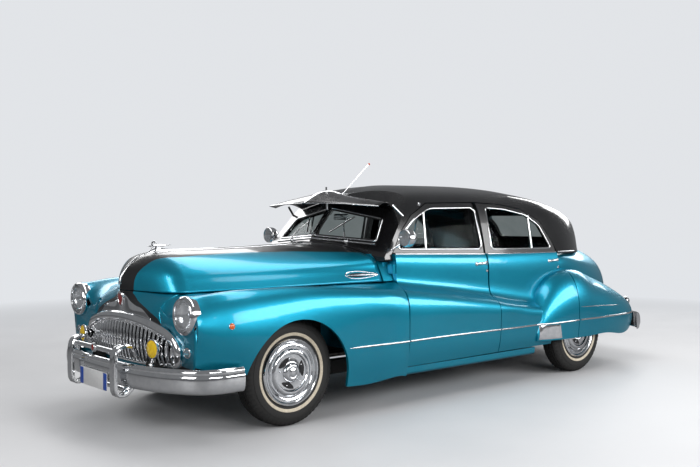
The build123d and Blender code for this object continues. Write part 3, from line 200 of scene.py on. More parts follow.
# ---- wheels and wheel covers ----
# The wheels are pressed steel discs, and a stepped cover of polished stainless steel clips on each.
# The cover is spun in rings, with three pressed slots round a raised hub cap; the slots are dark sheets of painted
# shade.
polished = finish("polished_steel", (0.83, 0.84, 0.86), (0.70, 0.72, 0.75), 35, 1.0, (0.07, 0.16))
cover_rings = [(0.060, 0.2130), (0.0705, 0.2215), (0.0760, 0.2225), (0.0835, 0.2170), (0.0850, 0.2080),
               (0.0790, 0.1990), (0.0745, 0.1950), (0.0745, 0.1900), (0.0800, 0.1860), (0.0815, 0.1800),
               (0.0795, 0.1740), (0.0740, 0.1700), (0.0725, 0.1650), (0.0725, 0.1580), (0.0790, 0.1530),
               (0.0850, 0.1450), (0.0875, 0.1350), (0.0865, 0.1265), (0.0800, 0.1215), (0.0745, 0.1190),
               (0.0735, 0.1120), (0.0730, 0.0700), (0.0745, 0.0660), (0.0860, 0.0600), (0.0930, 0.0520),
               (0.0960, 0.0430), (0.0955, 0.0360), (0.0935, 0.0320), (0.0945, 0.0270), (0.0985, 0.0200),
               (0.1000, 0.0100), (0.1005, 0.0)]
# painted shade: one dark finish for the sheets laid in the wheel covers' slots, in the hood trims' slots and behind the
# grille bars
painted_shade_dark = finish("painted_shade_dark", (0.030, 0.030, 0.032), (0.012, 0.012, 0.014), 50, 0.3, (0.3, 0.5))


def shares(count):
    """The shares 0 to 1 in count equal steps."""
    return [k / count for k in range(count + 1)]


for end, side, hub, out in wheels:
    body = f"{end}wheel{side}"
    dress(dull_steel, body)
    piece(f"{end}cover{side}", [turned(cover_rings, hub, (0, out, 0), 144)], polished, body, 30)
    # the three slots are thin dark sheets on the cover, painted shade in place of their recesses
    lobes = []
    for third in range(3):
        start = 2 * math.pi * third / 3 + 0.35
        rim = [(start + out * t * 1.05, 0.1105 - 0.010 * t) for t in shares(24)]
        rim += [(start + out * t * 1.05, 0.0985 - 0.034 * math.sin(math.pi * t) ** 0.7 * (1 - 0.35 * t) - 0.006 * t)
                for t in reversed(shares(24))]
        walls = [hub + Vector((math.cos(turn) * (r * scale + more), out * lift, math.sin(turn) * (r * scale + more)))
                 for scale, more, lift in ((1, 0, 0.0752), (0.97, 0.003, 0.0738)) for turn, r in rim]
        count = len(rim)
        fan = [(i, i + 1, count - 2 - i, count - 1 - i) for i in range(count // 2 - 1)]
        lobes.append((walls, grid_faces(2, count) + fan))
    piece(f"{end}cover{side}_slots", lobes, painted_shade_dark, body)
    stem_axis = Vector((0.62, out * 0.78, 0.10))
    stem = [(0, 0.0055), (0.016, 0.0055), (0.017, 0.0042), (0.026, 0.0042), (0.027, 0)]
    piece(f"{end}valve{side}", [turned(stem, hub + Vector((0.112, out * 0.073, -0.135)), stem_axis, 16)],
          tyre_rubber, body)
    dots = [turned([(0, 0.006), (0.004, 0.0055), (0.006, 0.003), (0.0065, 0)],
                   hub + Vector((math.cos(a) * 0.0905, out * 0.073, math.sin(a) * 0.0905)), (0, out, 0), 12)
            for a in [2 * math.pi * (k + 0.1) / 5 for k in range(5)]]
    piece(f"{end}wheel_nuts{side}", dots, polished, body)

# ---- body shell ----
# The body is welded from deep-drawn steel sheet and finished in turquoise metallic cellulose.
# The roof, pillars and window frames are black above a bright belt moulding, under one clear polish.
turquoise = ((0.0006, 0.315, 0.470), (0.0006, 0.290, 0.440))
metal_share, paint_coat = 0.75, 0.55
paint_recipe = (*turquoise, 1.5, metal_share, (0.32, 0.35), 0.0, paint_coat)
flake_size, flake_share = 900, 0.18
body_paint = finish("body_paint", *paint_recipe)
black_paint = finish("black_paint", (0.0075, 0.0075, 0.0085), (0.0055, 0.0055, 0.006), 3, 0.0, (0.14, 0.22), 0.0, 0.7)


def add_flake(material):
    """Mixes the sparkle of fine metal flake into a paint's colour."""
    tree = material.node_tree
    place, flake = tree.nodes.new("ShaderNodeTexCoord"), tree.nodes.new("ShaderNodeTexVoronoi")
    flake.inputs["Scale"].default_value = flake_size
    glint = tree.nodes.new("ShaderNodeMix")
    glint.data_type, glint.blend_type = "RGBA", "MULTIPLY"
    glint.inputs["Factor"].default_value = flake_share
    join(tree, (place, "Object", flake, "Vector"), (tree.nodes["shades"], "Color", glint, "A"),
         (flake, "Color", glint, "B"), (glint, "Result", tree.nodes["Principled BSDF"], "Base Color"))
    return glint.outputs["Result"]


def two_tone(name, black_where):
    """Turquoise paint with black where black_where(step, x, y, z) is 1, both under the same clear coat."""
    material = finish(name, *paint_recipe)
    nodes, links = material.node_tree.nodes, material.node_tree.links
    color = add_flake(material)
    place = nodes.new("ShaderNodeTexCoord")
    split = nodes.new("ShaderNodeSeparateXYZ")
    links.new(place.outputs["Object"], split.inputs["Vector"])

    def step(operation, *values):
        """A maths node fed by numbers or by other nodes."""
        node = nodes.new("ShaderNodeMath")
        node.operation = operation
        for socket, value in zip(node.inputs, values):
            if isinstance(value, (int, float)):
                socket.default_value = value
            else:
                links.new(value, socket)
        return node.outputs["Value"]

    black = black_where(step, *split.outputs)
    blend = nodes.new("ShaderNodeMix")
    blend.data_type = "RGBA"
    blend.inputs["B"].default_value = (0.0065, 0.0065, 0.0075, 1)
    links.new(black, blend.inputs["Factor"])
    links.new(color, blend.inputs["A"])
    links.new(blend.outputs["Result"], nodes["Principled BSDF"].inputs["Base Color"])
    links.new(step("MULTIPLY", step("SUBTRACT", 1.0, black), metal_share), nodes["Principled BSDF"].inputs["Metallic"])
    return material


add_flake(body_paint)
belt_z, belt_slope = 1.0640, 0.032


def above_belt(step, x, y, z):
    """Black above the belt moulding, which rises a little towards the windscreen."""
    rise = step("MULTIPLY", step("MAXIMUM", step("ADD", x, 0.90), 0.0), belt_slope * 0.62)
    return step("GREATER_THAN", z, step("ADD", rise, belt_z))


door_paint = two_tone("door_paint", above_belt)
dress(door_paint, "cowl")
dress(black_paint, "roof", "center_pillars", "parcel_shelf")
dress(body_paint, "rear_body", "rockers")


# ---- front and rear fenders ----
# The fenders are single pressings bolted to the body; the rear ones have a skirt over the wheel.
# A stainless strip runs along each side, and a stainless guard covers the foot of the swell on the rear door.
def skin(node, origin, direction):
    """Where a straight line meets a CAD node's surface, and the surface's outward direction there."""
    if node not in skins:
        mesh = cad[node].data
        skins[node] = BVHTree.FromPolygons([v.co for v in mesh.vertices], [p.vertices for p in mesh.polygons])
    hit, normal, _, _ = skins[node].ray_cast(Vector(origin), Vector(direction).normalized())
    if hit is None:
        return None
    return hit, normal if normal.dot(Vector(direction)) < 0 else -normal


def on_side(node, x, z, out):
    """Where a CAD node's outer side lies at x and height z, on the side that out gives."""
    return skin(node, (x, out * 1.4, z), (0, -out, 0))


def swept(path, outs, section, sizes=None, closed=False):
    """Carries a closed section of (across, out) pairs along a path; outs says which way is out at each point."""
    path = [Vector(p) for p in path]
    count, size = len(path), len(section)
    points = []
    for i, here in enumerate(path):
        before = path[i - 1] if i or closed else here
        after = path[(i + 1) % count] if i < count - 1 or closed else here
        along = (after - before).normalized()
        out = (outs[i] - along * outs[i].dot(along)).normalized()
        across = along.cross(out)
        grow = sizes[i] if sizes else 1
        points += [here + across * a * grow + out * b * grow for a, b in section]
    faces = grid_faces(count, size, closed, True)
    if not closed:
        faces += [tuple(range(size)), tuple(range((count - 1) * size, count * size))]
    return points, faces


def laid(found, section, sizes=None, closed=False):
    """A section carried over places on a surface, each a point and its outward direction."""
    return swept([p for p, n in found], [n for p, n in found], section, sizes, closed)


def smooth_point(a, b, c, d, t):
    """A point the share t of the way from b to c, on a smooth line that also runs through a and d."""
    return 0.5 * (2 * b + (c - a) * t + (2 * a - 5 * b + 4 * c - d) * t * t + (3 * b - a - 3 * c + d) * t ** 3)


def along_line(points, gap):
    """A smooth run of points through the given ones, about gap apart."""
    points = [Vector(p) for p in points]
    ends = [points[0] * 2 - points[1], *points, points[-1] * 2 - points[-2]]
    run = []
    for i in range(1, len(ends) - 2):
        a, b, c, d = ends[i - 1:i + 3]
        steps = max(1, round((c - b).length / gap))
        run += [smooth_point(a, b, c, d, k / steps) for k in range(steps)]
    return run + [points[-1]]


def half_round(width, height, foot=0.002):
    """The section of a moulding: flat back, rounded face."""
    arc = [(-width / 2 * math.cos(math.pi * k / 8), height * math.sin(math.pi * k / 8)) for k in range(9)]
    return [(-width / 2, -foot)] + arc + [(width / 2, -foot)]


def side_strip(name, node, body, line, out, section, taper=(False, False), on_edge=0.0):
    """A moulding that lies on a CAD side panel along (x, z) points; on_edge is how far up and down a fold it rides."""
    path, outs = [], []
    for p in along_line([(x, 0, z) for x, z in line], 0.03):
        near = [on_side(node, p.x, p.z + rise, out) for rise in (0, -on_edge, on_edge)]
        near = [found for found in near if found]
        if near:
            proud = max(found[0].y * out for found in near)
            path.append(Vector((p.x, out * proud, p.z)) if on_edge else near[0][0])
            outs.append(Vector((0, out, 0.25)) if on_edge else near[0][1])
    sizes = [1.0] * len(path)
    for k, size in enumerate((0.12, 0.5, 0.78, 0.93)):
        if taper[0]:
            sizes[k] = size
        if taper[1]:
            sizes[-1 - k] = size
    return piece(name, [swept(path, outs, section, sizes)], bright, body)


skins = {}
bright = finish("bright_trim", (0.86, 0.87, 0.88), (0.78, 0.79, 0.81), 30, 1.0, (0.05, 0.12))
strip_line = [(1.275, 0.4835), (1.05, 0.4815), (0.806, 0.479), (0.268, 0.479), (-0.332, 0.473), (-0.806, 0.472),
              (-1.296, 0.4845), (-1.897, 0.481), (-2.20, 0.474), (-2.44, 0.468)]
door_seams = (0.7015, -0.3455, -1.3075)


def part_of(line, x_from, x_to):
    """The stretch of a line of (x, z) points between two places along the car."""
    def height(x):
        """The line's height at x."""
        for (x0, z0), (x1, z1) in zip(line, line[1:]):
            if min(x0, x1) <= x <= max(x0, x1):
                return z0 + (z1 - z0) * (x - x0) / (x1 - x0)
        return line[-1][1] if abs(x - line[-1][0]) < abs(x - line[0][0]) else line[0][1]
    inner = [p for p in line if min(x_from, x_to) < p[0] < max(x_from, x_to)]
    return [(x_from, height(x_from))] + inner + [(x_to, height(x_to))]


for side, out in sides:
    dress(body_paint, f"front_fender_{side}", f"rear_fender_{side}")
    strip = half_round(0.017, 0.0085)
    side_strip(f"front_fender_strip_{side}", f"front_fender_{side}", "root",
               part_of(strip_line, 1.275, door_seams[0] + 0.010), out, strip, (True, False))
    side_strip(f"rear_fender_strip_{side}", f"rear_fender_{side}", "root",
               [(-0.925, 0.4735), (-1.10, 0.479), (-1.296, 0.4845), (-1.60, 0.4835), (-1.897, 0.481), (-2.20, 0.474),
                (-2.42, 0.468)], out, strip, (False, True))
    side_strip(f"rear_fender_bead_{side}", f"rear_fender_{side}", "root",
               [(-0.905, 0.5965), (-1.10, 0.5975), (-1.296, 0.596), (-1.60, 0.5865), (-1.838, 0.575), (-2.00, 0.566)],
               out, half_round(0.007, 0.003), (True, True))
    guard, guard_front, guard_foot, guard_top = [], -0.846, 0.342, 0.462
    for up in shares(11):
        z, back = guard_foot + (guard_top - guard_foot) * up, -1.092 + 0.031 * up
        for along in shares(14):
            x, found = guard_front + (back - guard_front) * along, None
            while not found:
                found, x = on_side(f"rear_door_{side}", x, z, out), x + 0.004
            guard.append(found[0] + found[1] * (0.0022 if 0 < along < 1 and 0 < up < 1 else 0.0004))
    piece(f"stone_guard_{side}", [(guard, grid_faces(12, 15))], polished, f"rear_door_{side}", 60)
    marker = on_side(f"front_fender_{side}", 2.204, 0.706, out)
    ring = [(-0.003, 0.0215), (0.004, 0.0205), (0.006, 0.0185), (0.005, 0.0170)]
    piece(f"side_marker_ring_{side}", [turned(ring, marker[0], marker[1], 40)], bright, "root")
    amber = finish(f"amber_lens_{side}", (0.85, 0.16, 0.012), (0.60, 0.09, 0.008), 300, 0.0, (0.1, 0.2), 0.0004, 1.0)
    lens = [(0.004, 0.0178), (0.0075, 0.0150), (0.0095, 0.0100), (0.0103, 0.0)]
    piece(f"side_marker_{side}", [turned(lens, marker[0], marker[1], 40)], amber, "root")

# ---- doors ----
# Each door is a steel pressing on two hinge pins at its leading edge, opened by a chromed pull handle.
# Bright mouldings clip along its belt and round its window, and a bright post carries the quarter light.
belt_line = [(0.780, 1.1010), (0.695, 1.0985), (0.207, 1.0860), (-0.316, 1.0725), (-0.90, 1.0665), (-1.173, 1.0655),
             (-1.3075, 1.0645), (-1.582, 1.0640)]
front_window = [(0.6345, 1.133), (0.5425, 1.258), (0.4015, 1.358), (0.2235, 1.434), (-0.3025, 1.447), (-0.3085, 1.113)]
rear_window = [(-0.4335, 1.110), (-0.4515, 1.448), (-0.6755, 1.436), (-0.9455, 1.390), (-1.1075, 1.303),
               (-1.2295, 1.102)]


def rounded(outline, radius, steps=5):
    """A closed outline with each corner rounded."""
    line = []
    for i, (x, z) in enumerate(outline):
        here = Vector((x, z))
        before, after = Vector(outline[i - 1]) - here, Vector(outline[(i + 1) % len(outline)]) - here
        cut = min(radius, before.length * 0.45, after.length * 0.45)
        start, end = here + before.normalized() * cut, here + after.normalized() * cut
        for k in range(steps + 1):
            t = k / steps
            line.append(start * (1 - t) ** 2 + here * 2 * t * (1 - t) + end * t * t)
    return line


def frame_round(door, outline, out, radius):
    """A bright frame that follows a window's edge on the door's outer face."""
    centre = sum((Vector(p) for p in outline), Vector((0, 0))) / len(outline)
    path, outs = [], []
    for p in rounded(outline, radius):
        p = p + (p - centre).normalized() * 0.004
        found = on_side(door, p.x, p.y, out)
        if found:
            path.append(found[0] - found[1] * 0.001)
            outs.append(found[1])
    edge = swept(path, outs, half_round(0.014, 0.006), closed=True)
    return piece(f"{door}_window_frame", [edge], bright, door)


def post(door, low, high, out):
    """An upright bright post across a window opening, in line with the glass."""
    low, high = [Vector((x, out * y, z)) for x, y, z in (low, high)]
    path = [low + (high - low) * t for t in shares(6)]
    bar = swept(path, [Vector((0, out, 0.2))] * len(path), half_round(0.016, 0.007, 0.008))
    return piece(f"{door}_vent_post", [bar], bright, door)


def oval(wide, tall, count):
    """The section of a round or oval bar."""
    return [(wide * math.cos(a), tall * math.sin(a)) for a in [2 * math.pi * k / count for k in range(count)]]


def pull_handle(door, x, z, out):
    """A pull handle: a curved grip on two round feet, with a lock button behind it."""
    reach = 0.125
    foot, away = on_side(door, x, z, out)
    path = [foot + Vector((reach * t, 0, -0.004 * t))
            + away * (0.008 + 0.026 * math.sin(math.pi * min(t * 1.15, 1)) ** 0.8) for t in shares(14)]
    sizes = [0.7 + 0.5 * math.sin(math.pi * t) for t in shares(14)]
    rose = [(-0.002, 0.0165), (0.004, 0.0160), (0.007, 0.0135), (0.010, 0.0090), (0.0105, 0.0)]
    button = [(-0.002, 0.0120), (0.003, 0.0120), (0.005, 0.0100), (0.0052, 0.0072), (0.0075, 0.0068), (0.0080, 0.0)]
    far, lock = on_side(door, x + reach * 0.96, z - 0.004, out), on_side(door, x - 0.004, z - 0.062, out)
    grip = swept(path, [away] * len(path), oval(0.0085, 0.005, 14), sizes)
    parts = [grip, turned(rose, foot, away, 32), turned(rose, *far, 32), turned(button, *lock, 28)]
    return piece(f"{door}_handle", parts, bright, door)


def clear(material, share, bend):
    """Makes a finish into glass: the share of light it lets through, and how far it bends it."""
    shader = material.node_tree.nodes["Principled BSDF"]
    shader.inputs["Transmission Weight"].default_value = share
    shader.inputs["IOR"].default_value = bend


window_glass = finish("window_glass", (0.90, 0.95, 0.94), (0.84, 0.90, 0.89), 6, 0.0, (0.0, 0.02))
clear(window_glass, 1.0, 1.05)
belt = half_round(0.013, 0.0065)
for side, out in sides:
    front, rear = f"front_door_{side}", f"rear_door_{side}"
    dress(door_paint, front, rear)
    dress(window_glass, f"front_door_glass_{side}", f"rear_door_glass_{side}")
    for node, ends in ((front, (0.6945, -0.3385)), (rear, (-0.3525, -1.3005))):
        side_strip(f"{node}_strip", node, node, part_of(strip_line, *ends), out, half_round(0.017, 0.0085))
        side_strip(f"{node}_belt", node, node, part_of(belt_line, *ends), out, belt, on_edge=0.006)
    side_strip(f"body_belt_{side}", "roof", "root",
               [(-1.325, 1.0645), (-1.45, 1.0642), (-1.582, 1.0640), (-1.70, 1.0640)],
               out, half_round(0.011, 0.004), (False, True))
    frame_round(front, front_window, out, 0.045)
    frame_round(rear, rear_window, out, 0.035)
    post(front, (0.327, 0.728, 1.118), (0.300, 0.672, 1.405), out)
    post(rear, (-0.980, 0.730, 1.095), (-0.994, 0.672, 1.385), out)
    pull_handle(front, -0.318, 1.000, out)
    pull_handle(rear, -1.278, 0.994, out)

# ---- hood ----
# The hood is one deep steel pressing, hinged along its right edge and latched on its left.
# It narrows to a prow, with a black stripe along its crown and a chrome strip down its ridge.
hood_top = [(0.7015, 1.200), (0.9825, 1.170), (1.4425, 1.150), (1.8625, 1.141), (2.1825, 1.135), (2.2500, 1.128),
            (2.3225, 1.109)]
hood_full = [(0.7015, 0.93), (1.4425, 0.80), (1.8625, 0.74), (2.1825, 0.72), (2.3225, 0.70)]
prow_top = [(2.1825, 0, 1.135), (2.262, 0, 1.126), (2.333, 0, 1.106), (2.390, 0, 1.068), (2.435, 0, 1.030),
            (2.464, 0, 0.992), (2.4785, 0, 0.955), (2.4815, 0, 0.920), (2.4810, 0, 0.893)]
prow_edge = [(2.1825, 0.4445, 0.8803), (2.245, 0.429, 0.8795), (2.298, 0.394, 0.879), (2.340, 0.330, 0.880),
             (2.374, 0.255, 0.882), (2.405, 0.175, 0.884), (2.432, 0.112, 0.886), (2.457, 0.058, 0.887),
             (2.479, 0.010, 0.888)]
prow_full = [0.72, 0.71, 0.69, 0.66, 0.61, 0.56, 0.50, 0.45, 0.40]


def at(line, x):
    """A smooth value at x between the given ones."""
    line = sorted(line)
    x = min(max(x, line[0][0]), line[-1][0])
    k = next(i for i in range(1, len(line)) if x <= line[i][0])
    before, after = max(k - 2, 0), min(k + 1, len(line) - 1)
    (x0, v0), (x1, v1) = line[k - 1], line[k]
    m0 = (v1 - line[before][1]) / (x1 - line[before][0])
    m1 = (line[after][1] - v0) / (line[after][0] - x0)
    t, w = (x - x0) / (x1 - x0), x1 - x0
    return ((2 * t ** 3 - 3 * t * t + 1) * v0 + (t ** 3 - 2 * t * t + t) * w * m0
            + (3 * t * t - 2 * t ** 3) * v1 + (t ** 3 - t * t) * w * m1)


def hood_rib(top, edge, full, steps=6):
    """Points over the hood from its crown down to its left edge."""
    high = top.z - edge.z
    bends = [(0, 1), (0.25, 0.98), (0.55, 0.88 - 0.1 * (1 - full)), (0.5 + 0.42 * full, 0.58),
             (0.75 + 0.22 * full, 0.3), (1, 0)]
    keys = [Vector((top.x + (edge.x - top.x) * a, edge.y * a, edge.z + high * b)) for a, b in bends]
    ends = [Vector((keys[1].x, -keys[1].y, keys[1].z)), *keys, keys[-1] * 2 - keys[-2]]
    rib = []
    for i in range(1, len(ends) - 2):
        a, b, c, d = ends[i - 1:i + 3]
        rib += [smooth_point(a, b, c, d, k / steps) for k in range(steps)]
    return rib + [keys[-1]]


def hood_at(x):
    """The hood's rib at x, behind its prow."""
    share = (x - 0.7015) / (2.3225 - 0.7015)
    edge = Vector((x, 0.757 + share * (0.415 - 0.757), 0.905 + share * (0.878 - 0.905)))
    return hood_rib(Vector((x, 0, at(hood_top, x))), edge, at(hood_full, x))


ribs = []
hood_back_x, prow_x = 0.780, 2.1825
for t in shares(45):
    x = hood_back_x + (prow_x - hood_back_x) * t
    ribs.append([hood_at(x + (0.9235 - 0.1744 * p.y - hood_back_x) * (1 - t))[i] for i, p in enumerate(hood_at(x))])
for k in range(len(prow_top) - 1):
    for j in range(1, 6):
        t = k + j / 5
        pick = [at([(i, c[n]) for i, c in enumerate(line)], t) for line in (prow_top, prow_edge) for n in range(3)]
        ribs.append(hood_rib(Vector(pick[:3]), Vector(pick[3:]), at(list(enumerate(prow_full)), t)))


def sheet_of(rows):
    """Faces over rows of left-side points, mirrored to both sides."""
    rows = [[Vector((p.x, -p.y, p.z)) for p in reversed(row[1:])] + list(row) for row in rows]
    return [p for row in rows for p in row], grid_faces(len(rows), len(rows[0]))


def thicken(made, thickness):
    """Gives a pressed panel its sheet thickness on the inside."""
    wall = made.modifiers.new("sheet", "SOLIDIFY")
    wall.thickness, wall.offset = thickness, -1
    return made


stripe_half = [(0.70, 0.62), (0.944, 0.475), (1.302, 0.339), (1.698, 0.248), (2.017, 0.242), (2.188, 0.235),
               (2.255, 0.209), (2.348, 0.158), (2.407, 0.124), (2.434, 0.104), (2.50, 0.100)]


def width_curve(step, x, table):
    """A painted edge's half width as straight runs between table values."""
    total = table[0][1]
    for (x0, w0), (x1, w1) in zip(table, table[1:]):
        run = step("MINIMUM", step("MAXIMUM", step("SUBTRACT", x, x0), 0.0), x1 - x0)
        total = step("ADD", total, step("MULTIPLY", run, (w1 - w0) / (x1 - x0)))
    return total


def heading(path, i):
    """The way a path runs at its point i."""
    return path[min(i + 1, len(path) - 1)] - path[max(i - 1, 0)]


def on_stripe(step, x, y, z):
    """Black on the hood's crown stripe."""
    return step("LESS_THAN", step("ABSOLUTE", y), width_curve(step, x, stripe_half))


hood_paint = two_tone("hood_paint", on_stripe)
hood = thicken(piece("hood_panel", [sheet_of(ribs)], hood_paint, "hood", 50), 0.003)
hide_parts("hood")
ridge = [r[0] for r in ribs if r[0].x > 0.93]
ridge_outs = [-Vector((0, 1, 0)).cross(heading(ridge, i)).normalized() for i in range(len(ridge))]
piece("hood_ridge_strip", [swept(ridge[:-6], ridge_outs[:-6], half_round(0.020, 0.008))], bright, "hood")

# teardrop trims on the hood's sides, each a stamped shell round a slot, with a bright blade; the slot's inside is a
# flat dark sheet, painted shade
hood_tree = BVHTree.FromPolygons(*sheet_of(ribs))


def on_hood(x, z, out):
    """The hood's side surface and its outward direction at x and height z."""
    hit, normal, _, _ = hood_tree.ray_cast(Vector((x, out * 1.4, z)), Vector((0, -out, 0)))
    return hit, normal if normal.y * out > 0 else -normal


vent_x, vent_z = 0.944, 0.952
for side, out in sides:
    top, inner = [], []
    for k in range(48):
        a = 2 * math.pi * k / 48
        along, tall = 0.128 * math.cos(a), 0.0235 * math.sin(a) * (1 + 0.45 * math.cos(a))
        top.append(on_hood(vent_x + along, vent_z + tall, out))
        inner.append(on_hood(vent_x + along * 0.86, vent_z + tall * 0.55, out))
    trim = [laid(top, half_round(0.009, 0.006), closed=True)]
    path = [on_hood(0.826 + (1.058 - 0.826) * t, vent_z, out) for t in shares(12)]
    trim.append(laid(path, half_round(0.013, 0.008),
                     [0.3 + 0.7 * math.sin(math.pi * min(1, (k + 1) / 9)) for k in range(13)]))
    piece(f"hood_vent_trim_{side}", trim, bright, "hood")
    # painted shade: a dark sheet just off the hood fills each teardrop, where the slot would fall into shade
    vent_shade_sheet = [p + n * 0.0015 for p, n in inner]
    vent_shade_faces = [(i, i + 1, 46 - i, 47 - i) for i in range(23)]
    piece(f"hood_vent_shade_{side}", [(vent_shade_sheet, vent_shade_faces)], painted_shade_dark, "hood")

# the ornament: a slim blade on a foot with a ring held upright in front
ring_centre = Vector((2.232, 0, 1.172))
ring_outs = [Vector((0, across, up)) for across, up in oval(1, 1, 32)]
ring_path = [ring_centre + out * 0.030 for out in ring_outs]
dart = [(-0.050, 0.0005), (-0.030, 0.0045), (0.0, 0.0085), (0.03, 0.0095), (0.07, 0.007), (0.115, 0.003), (0.135, 0.0)]
foot_path = along_line([(2.275, 0, 1.126), (2.250, 0, 1.136), (2.225, 0, 1.143), (2.190, 0, 1.146),
                        (2.130, 0, 1.143)], 0.01)
foot_sizes = [0.35 + 0.65 * math.sin(math.pi * (k + 1) / (len(foot_path) + 1)) for k in range(len(foot_path))]
piece("hood_ornament", [swept(ring_path, ring_outs, oval(0.0055, 0.0055, 10), closed=True),
                        turned(dart, ring_centre, (-1, 0, 0.02), 24),
                        swept(foot_path, [Vector((0, 0, 1))] * len(foot_path), half_round(0.040, 0.016, 0.010),
                              foot_sizes),
                        turned([(0, 0.010), (0.012, 0.007), (0.024, 0.006)], (2.226, 0, 1.128), (0, 0, 1), 20)],
      bright, "hood")

# ---- nose panel ----
# The nose is a fixed pressing between hood, fenders and grille, welded to the front fenders' inner edges.
# It carries the black band down from the hood and a stamped chrome plate with a plain badge.
arch = [(0.0, 2.462, 0.742), (0.17, 2.457, 0.734), (0.335, 2.445, 0.713), (0.461, 2.430, 0.683)]
arch_x, arch_z = [(y, x) for y, x, z in arch], [(y, z) for y, x, z in arch]
brow_x = sorted((y, x) for x, y, z in prow_edge[1:])


def nose_at(y, z):
    """The nose panel's surface at half width y and height z."""
    y = abs(y)
    low, high = at(arch_z, y), 0.884 - 0.012 * y / 0.415
    t = min(max((z - low) / (high - low), 0), 1)
    return at(arch_x, y) + (at(brow_x, y) - at(arch_x, y)) * t ** (1 + 7.3 * y)


nose_rows = []
for t in shares(24):
    row = []
    for v in shares(30):
        y = 0.415 * v + 0.046 * v * (1 - t)
        z = at(arch_z, y) + (0.884 - 0.012 * min(y / 0.415, 1) - at(arch_z, y)) * t
        row.append(Vector((nose_at(y, z), y, z)))
    nose_rows.append(row)
cheek_in = [(2.4175, 0.4255, 0.7975), (2.4235, 0.4370, 0.745), (2.430, 0.461, 0.683), (2.426, 0.505, 0.676),
            (2.420, 0.552, 0.667), (2.412, 0.585, 0.640), (2.402, 0.612, 0.606), (2.398, 0.632, 0.585),
            (2.396, 0.645, 0.560), (2.394, 0.650, 0.500), (2.394, 0.645, 0.455)]
cheek_out = [(2.4175, 0.4265, 0.798), (2.4175, 0.475, 0.7655), (2.4175, 0.525, 0.744), (2.4175, 0.590, 0.745),
             (2.4175, 0.655, 0.722), (2.4175, 0.695, 0.678), (2.4175, 0.752, 0.660), (2.4175, 0.815, 0.680),
             (2.4175, 0.868, 0.700), (2.4175, 0.868, 0.602), (2.4175, 0.842, 0.455)]
cheek_rows = []
for t in shares(6):
    row = []
    for a, b in zip(along_line(cheek_in, 9), along_line(cheek_out, 9)):
        p = a.lerp(b, t)
        p.x += 0.010 * math.sin(math.pi * t)
        row.append(p)
    cheek_rows.append(row)
cheek_faces = grid_faces(len(cheek_rows), len(cheek_rows[0]))
cheeks = [([Vector((p.x, out * p.y, p.z)) for row in cheek_rows for p in row], cheek_faces) for out in (1, -1)]
sill_plan = [(2.452, 0), (2.448, 0.17), (2.436, 0.335), (2.42, 0.46), (2.405, 0.56), (2.394, 0.645), (2.405, 0.75),
             (2.415, 0.842)]
sill = [[Vector((x - 0.02 * k - 0.012, y, 0.425 - 0.030 * k - 0.01)) for x, y in sill_plan] for k in range(3)]
band_half = [(0.60, 0.60), (0.69, 0.47), (0.731, 0.416), (0.782, 0.294), (0.823, 0.171), (0.868, 0.103), (0.90, 0.100)]


def on_band(step, x, y, z):
    """Black on the nose where the hood's stripe spreads down to the grille."""
    inside = step("LESS_THAN", step("ABSOLUTE", y), width_curve(step, z, band_half))
    return step("MULTIPLY", inside, step("GREATER_THAN", z, 0.66))


nose_paint = two_tone("nose_paint", on_band)
nose = thicken(piece("nose_pressing", [sheet_of(nose_rows), *cheeks, sheet_of(sill)], nose_paint, "root",
                     50), 0.003)
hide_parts("nose_panel")
plate_top = [(0.0, 0.866), (0.030, 0.862), (0.056, 0.846), (0.093, 0.817), (0.158, 0.795), (0.251, 0.776),
             (0.345, 0.724)]
plate_rows = []
for t in shares(8):
    row = []
    for v in shares(28):
        y = 0.352 * v
        low, high = at(arch_z, y) - 0.002, max(at(plate_top, y), at(arch_z, y))
        z = low + (high - low) * t
        row.append(Vector((nose_at(y, z) + 0.0035, y, z)))
    plate_rows.append(row)
thicken(piece("nose_plate", [sheet_of(plate_rows)], bright, "root", 50), 0.003)
shield = [(0, 0.062), (0.016, 0.060), (0.030, 0.050), (0.034, 0.030), (0.032, 0.004), (0.022, -0.020), (0, -0.038)]


def shield_face(grow, lift):
    """The badge's outline, grown or shrunk and lifted off the nose."""
    edge = [(y * grow, badge_z + z * grow) for y, z in shield]
    edge += [(-y, z) for y, z in reversed(edge[1:-1])]
    return [Vector((nose_at(y, z) + 0.004 + lift, y, z)) for y, z in edge]


badge_z = 0.815
badge_rows = [shield_face(1.0, 0.0), shield_face(1.0, 0.008), shield_face(0.88, 0.0115), shield_face(0.80, 0.0085)]
badge_shell = ([p for row in badge_rows for p in row], grid_faces(4, len(badge_rows[0]), False, True))
piece("nose_badge_rim", [badge_shell], bright, "root", 30)
badge_red = finish("badge_red", (0.30, 0.018, 0.012), (0.20, 0.010, 0.008), 120, 0.0, (0.15, 0.25), 0.0, 1.0)
field = badge_rows[3]
rows = [field[:7], [field[0]] + [field[-i] for i in range(1, 6)] + [field[6]]]
enamel = [p + Vector((0.0012, 0, 0)) for row in rows for p in row]
piece("nose_badge_enamel", [(enamel, grid_faces(2, 7))], badge_red, "root", 60)

